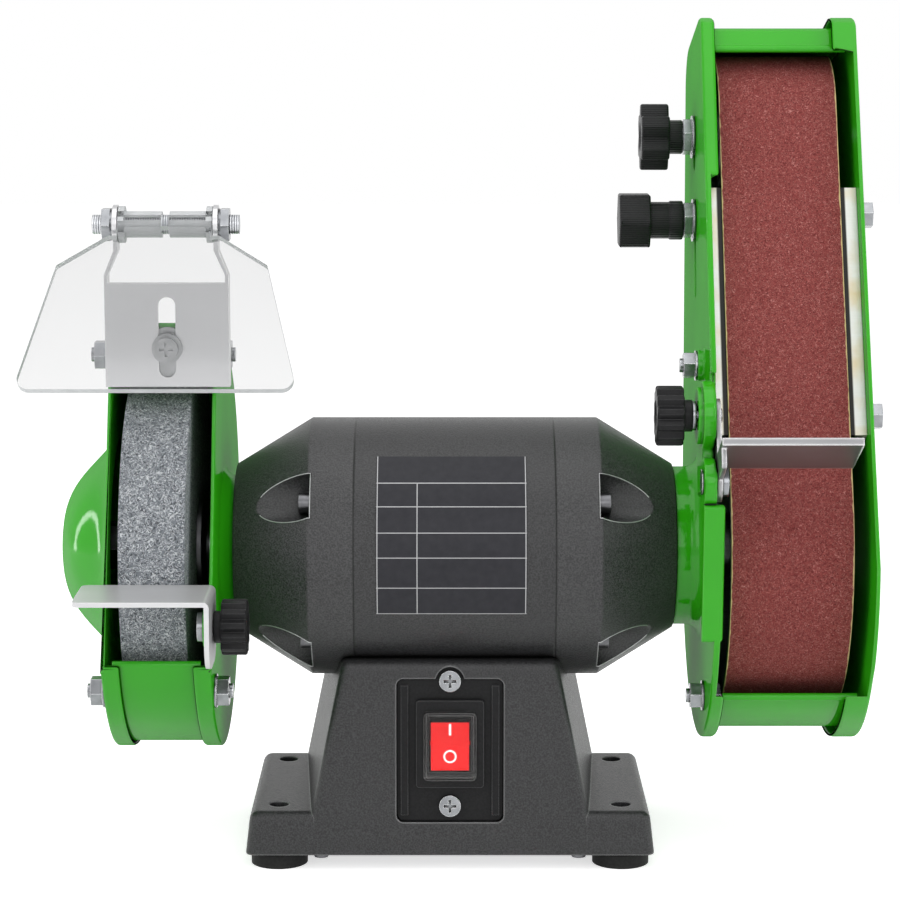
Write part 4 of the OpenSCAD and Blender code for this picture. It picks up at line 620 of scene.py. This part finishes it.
def star_grip(radius, lobes, groove, tip, shoulder, middle):
    steps = 72 // lobes
    rim_rounding = 0.0009
    dish_radius, dish_depth = 0.012, 0.002
    bpy.ops.object.select_all(action="DESELECT")
    bpy.ops.mesh.primitive_circle_add(
        vertices=lobes * steps, radius=radius, fill_type="NGON",
        location=(shoulder, *middle), rotation=(0, math.pi / 2, 0),
    )
    grip = bpy.context.object
    bpy.ops.object.transform_apply(location=True, rotation=True, scale=True)
    widths = range(steps // 4, -1, -1)
    inward = 1 - groove / len(widths) / radius
    for width in widths:
        pick(grip, "vertices", lambda point: min(
            point.index % steps, -point.index % steps) <= width)
        bpy.ops.transform.resize(value=(1, inward, inward), center_override=(shoulder, *middle))
        bpy.ops.object.mode_set(mode="OBJECT")
    bpy.ops.object.mode_set(mode="EDIT")
    bpy.ops.mesh.select_all(action="SELECT")
    bpy.ops.mesh.extrude_region_move(TRANSFORM_OT_translate={"value": (tip - shoulder, 0, 0)})
    bpy.ops.mesh.select_all(action="SELECT")
    bpy.ops.mesh.normals_make_consistent(inside=False)
    bpy.ops.object.mode_set(mode="OBJECT")
    pick(grip, "edges", lambda edge: at_x(grip, edge, tip) or at_x(grip, edge, shoulder))
    bpy.ops.mesh.bevel(offset=rim_rounding, segments=3, affect="EDGES")
    bpy.ops.object.mode_set(mode="OBJECT")
    bpy.ops.object.select_all(action="DESELECT")
    bpy.ops.mesh.primitive_uv_sphere_add(
        segments=48, ring_count=24, radius=dish_radius,
        location=(tip + math.copysign(dish_radius - dish_depth, tip - shoulder), *middle),
    )
    bowl = bpy.context.object
    hollow = grip.modifiers.new("dish", "BOOLEAN")
    hollow.object = bowl
    bpy.context.view_layer.objects.active = grip
    bpy.ops.object.modifier_apply(modifier="dish")
    bpy.data.objects.remove(bowl)
    return grip


start, end, middle = knob_place("rest_knob")
grip = star_grip(
    radius=0.0112, lobes=12, groove=0.0019, tip=end, shoulder=start + 0.003, middle=middle)
collar = turned(start, start + 0.004, middle, radius=0.0065, rounding=0.0003)
rest_grip = joined("rest_grip", grip, collar)
rest_grip.data.materials.append(black_plastic)
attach(rest_grip, "rest_grip")
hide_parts("rest_knob")

# Eye shield: a clear moulded plate on two hinge barrels, carried by a slotted bracket of brushed
# steel with a threaded rod, nuts and washers, and held to the guard by one screw.
shield_lean = math.radians(38)
square_to_plate = 0.98
clear_shield, tree, shader, place = finish("clear_shield", Alpha=0.16, Specular_IOR_Level=0.1)
smear = noise(tree, place, scale=60, detail=3)
tone = mix(tree, smear, (0.20, 0.205, 0.21, 1), (0.26, 0.265, 0.27, 1))
tree.links.new(tone, shader.inputs["Base Color"])
tree.links.new(between(tree, smear, 0.02, 0.12), shader.inputs["Roughness"])

cut_edge, tree, shader, place = finish(
    "cut_edge", Transmission_Weight=0.2, IOR=1.3, Roughness=0.5)
cloud = noise(tree, place, scale=200, detail=2)
tone = mix(tree, cloud, (0.52, 0.54, 0.55, 1), (0.74, 0.75, 0.76, 1))
tree.links.new(tone, shader.inputs["Base Color"])

moulded = merged_copy("moulded_shield", "eye_shield")
moulded.data.materials.append(clear_shield)
moulded.data.materials.append(cut_edge)
for face in moulded.data.polygons:
    across = face.normal.y * math.cos(shield_lean) - face.normal.z * math.sin(shield_lean)
    face.material_index = 0 if abs(across) > square_to_plate else 1
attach(moulded, "shield")
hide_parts("eye_shield")

bracket_steel, *_ = sheet_metal(
    "bracket_steel", dark=(0.53, 0.53, 0.54, 1), pale=(0.60, 0.60, 0.61, 1), metallic=1.0,
    smooth=0.28, rough=0.36, edge=0.78)
dress(bracket_steel, "shield_bracket")
dress(zinc_plate, "rod_nuts")

plain_zinc, tree, shader, place = finish("plain_zinc", Metallic=1.0, Roughness=0.34)
cloud = noise(tree, place, scale=150, detail=1)
tone = mix(tree, cloud, (0.24, 0.245, 0.25, 1), (0.46, 0.465, 0.47, 1))
tree.links.new(tone, shader.inputs["Base Color"])
dress(plain_zinc, "bracket_screw")

screw_thread, tree, shader, place = finish("screw_thread", Metallic=1.0, Roughness=0.3)
thread = node(tree, "TexWave", {"Vector": place, "Scale": 314}, bands_direction="X").outputs["Fac"]
tone = mix(tree, thread, (0.30, 0.31, 0.33, 1), (0.66, 0.67, 0.69, 1))
tree.links.new(tone, shader.inputs["Base Color"])
emboss(tree, shader, thread, rounded(tree, radius=0.0003), strength=0.6, depth=0.0004)
dress(screw_thread, "hinge_rod")

# Sander arm: a die cast side with its hub, ears and rib, a pressed cover and a rolled strip, all
# in the guard's green coat and bolted together. A steel ring holds the hub on the motor,
# and the plated carriage, the axle, the spring and the bolts are turned and stamped steel.
slot_clearances = ((0.0330, 0.2527, 0.024), (0.0451, 0.2982, 0.015), (-0.0634, 0.1950, 0.012))
rib_front, rib_back = -0.0836, -0.072
rib_bottom, rib_top = 0.090, 0.175
dress(green_coat, "arm_strip")
for name, source, face, width in (
    ("arm_side", "arm_casting", 0.1070, 0.0014),
    ("arm_face", "arm_cover", 0.1733, 0.0012),
):
    def on_outline(point):
        clear_of_slots = all(
            math.hypot(point.y - y, point.z - z) > reach for y, z, reach in slot_clearances)
        beside_rib = point.y < rib_back and rib_bottom < point.z < rib_top
        on_face = abs(point.x - face) < hair
        return clear_of_slots and on_face and not beside_rib or point.y < rib_front
    side = eased(name, source, on_outline, width)
    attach(side, "arm")
dress(
    zinc_plate, "arm_bolts", "axle_nuts", "platen_bolts", "table_pivot", "drive_nut",
    "tension_carriage")
dress(
    bright_steel, "arm_clamp_ring", "clamp_screws", "idler_axle", "idler_bearings",
    "tension_bolt", "tension_spring")

# Drive wheel and idler: turned aluminium castings inside the belt.
# The drive wheel is held on the shaft by its nut, and the idler runs in bearings on its axle.
dress(bright_steel, "drive_wheel", "idler_roller")

# Abrasive belt: brown red grit glued on cloth, joined to a loop and stretched over the two rollers.
# The cloth shows as a pale, slightly frayed line at both edges.
belt_middle = 0.1397
cloth_start, cloth_full = 0.0251, 0.0254
fray_depth = 0.0012
red_grit, tree, shader, place = finish("red_grit", Roughness=0.8, Specular_IOR_Level=0.12)
grains = noise(tree, place, scale=1500, detail=2, Roughness=0.7)
specks = ramp(tree, grains, 0.3, 0.7)
patchy = between(tree, noise(tree, place, scale=50, detail=3), 0.0, 0.25)
tone = mix(tree, specks, (0.085, 0.013, 0.012, 1), (0.30, 0.070, 0.064, 1))
tone = mix(tree, curls(tree, place, scale=560, thin=0.022), tone, (0.50, 0.22, 0.20, 1))
tone = mix(tree, patchy, tone, (0.20, 0.042, 0.039, 1))
sideways = distance(tree, node(tree, "SeparateXYZ", {0: place}).outputs[0], belt_middle)
ragged = calc(tree, "MULTIPLY_ADD", noise(tree, place, scale=260, detail=2), fray_depth, sideways)
cloth = ramp(tree, ragged, cloth_start, cloth_full)
tree.links.new(mix(tree, cloth, tone, (0.58, 0.46, 0.22, 1)), shader.inputs["Base Color"])
flat = node(tree, "NewGeometry").outputs["Normal"]
emboss(tree, shader, grains, flat, strength=0.5, depth=0.0004)
dress(red_grit, "sanding_belt")

# Platen and work table: satin steel plates, the platen bolted behind the belt and the table held
# across it by its pivot and knob. The platen is stained yellow by dust, and a painted shadow
# darkens a line along each edge of the belt.
line_outside, line_inside = 0.0274, 0.0268
platen_steel, tree, shader, place, tone = sheet_metal(
    "platen_steel", dark=(0.60, 0.60, 0.58, 1), pale=(0.74, 0.74, 0.72, 1), metallic=0.6,
    smooth=0.3, rough=0.45)
stain = ramp(tree, noise(tree, place, scale=70, detail=3), 0.45, 0.75)
tone = mix(tree, stain, tone, (0.58, 0.48, 0.30, 1))
sideways = distance(tree, node(tree, "SeparateXYZ", {0: place}).outputs[0], belt_middle)
# Painted shadow: a near-black line on each side of the belt.
shaded = ramp(tree, sideways, line_outside, line_inside)
tree.links.new(mix(tree, shaded, tone, (0.012, 0.011, 0.010, 1)), shader.inputs["Base Color"])
dress(platen_steel, "platen")

# The wide edge rounding spreads the painted highlight over the table's front edge.
table_steel, *_ = sheet_metal(
    "table_steel", dark=(0.23, 0.23, 0.235, 1), pale=(0.36, 0.36, 0.37, 1), metallic=0.85,
    smooth=0.28, rough=0.42, edge=0.95, radius=0.0016)
dress(table_steel, "work_table")

# Grips of the arm: black moulded knobs screwed on their studs. The tracking knob is a star with
# six deep lobes, the tension knob is a rounded hexagon with fine ribs on a stepped collar,
# and the table knob is a star like the rest's, with a zinc plated stud and washer.
ribbed_plastic, tree, shader, place = finish(
    "ribbed_plastic", Roughness=0.36, Specular_IOR_Level=0.12)
ribs = node(tree, "TexWave", {"Vector": place, "Scale": 330}, bands_direction="Z").outputs["Fac"]
grain = noise(tree, place, scale=1100, detail=2)
tone = mix(tree, grain, (0.006, 0.006, 0.0065, 1), (0.020, 0.020, 0.021, 1))
tone = mix(tree, ribs, tone, (0.022, 0.022, 0.023, 1))
tree.links.new(tone, shader.inputs["Base Color"])
emboss(tree, shader, ribs, rounded(tree, radius=0.0005), strength=0.5, depth=0.0003)

start, end, middle = knob_place("tracking_knob")
grip = star_grip(
    radius=0.0144, lobes=6, groove=0.0042, tip=start, shoulder=start + 0.0122, middle=middle)
collar = turned(start + 0.0112, end, middle, radius=0.0074, rounding=0.0005)
tracking_grip = joined("tracking_grip", grip, collar)
tracking_grip.data.materials.append(ribbed_plastic)
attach(tracking_grip, "tracking_grip")
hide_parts("tracking_knob")

start, end, middle = knob_place("tension_knob")
corner_length = 0.009
grip = turned(start, start + 0.0136, middle, radius=0.0133, rounding=0.0012, vertices=6)
pick(grip, "edges", lambda edge: abs(
    grip.data.vertices[edge.vertices[0]].co.x
    - grip.data.vertices[edge.vertices[1]].co.x) > corner_length)
bpy.ops.mesh.bevel(offset=0.0024, segments=5, affect="EDGES")
bpy.ops.object.mode_set(mode="OBJECT")
neck = turned(start + 0.0126, start + 0.0228, middle, radius=0.0080, rounding=0.0004)
foot = turned(start + 0.0218, end, middle, radius=0.0085, rounding=0.0008)
tension_grip = joined("tension_grip", grip, neck, foot)
tension_grip.data.materials.append(ribbed_plastic)
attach(tension_grip, "tension_grip")
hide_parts("tension_knob")

start, end, middle = knob_place("table_knob")
grip = star_grip(
    radius=0.0122, lobes=12, groove=0.0019, tip=start, shoulder=start + 0.0111, middle=middle)
collar = turned(start + 0.0101, start + 0.0148, middle, radius=0.0065, rounding=0.0005)
table_grip = joined("table_grip", grip, collar)
table_grip.data.materials.append(black_plastic)
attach(table_grip, "table_grip")
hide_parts("table_knob")
washer = turned(start + 0.0143, start + 0.0163, middle, radius=0.0060, rounding=0.0003)
stem = turned(start + 0.0146, end, middle, radius=0.0030, rounding=0.0004)
table_stud = joined("table_stud", stem, washer)
table_stud.data.materials.append(zinc_plate)
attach(table_stud, "table_grip")
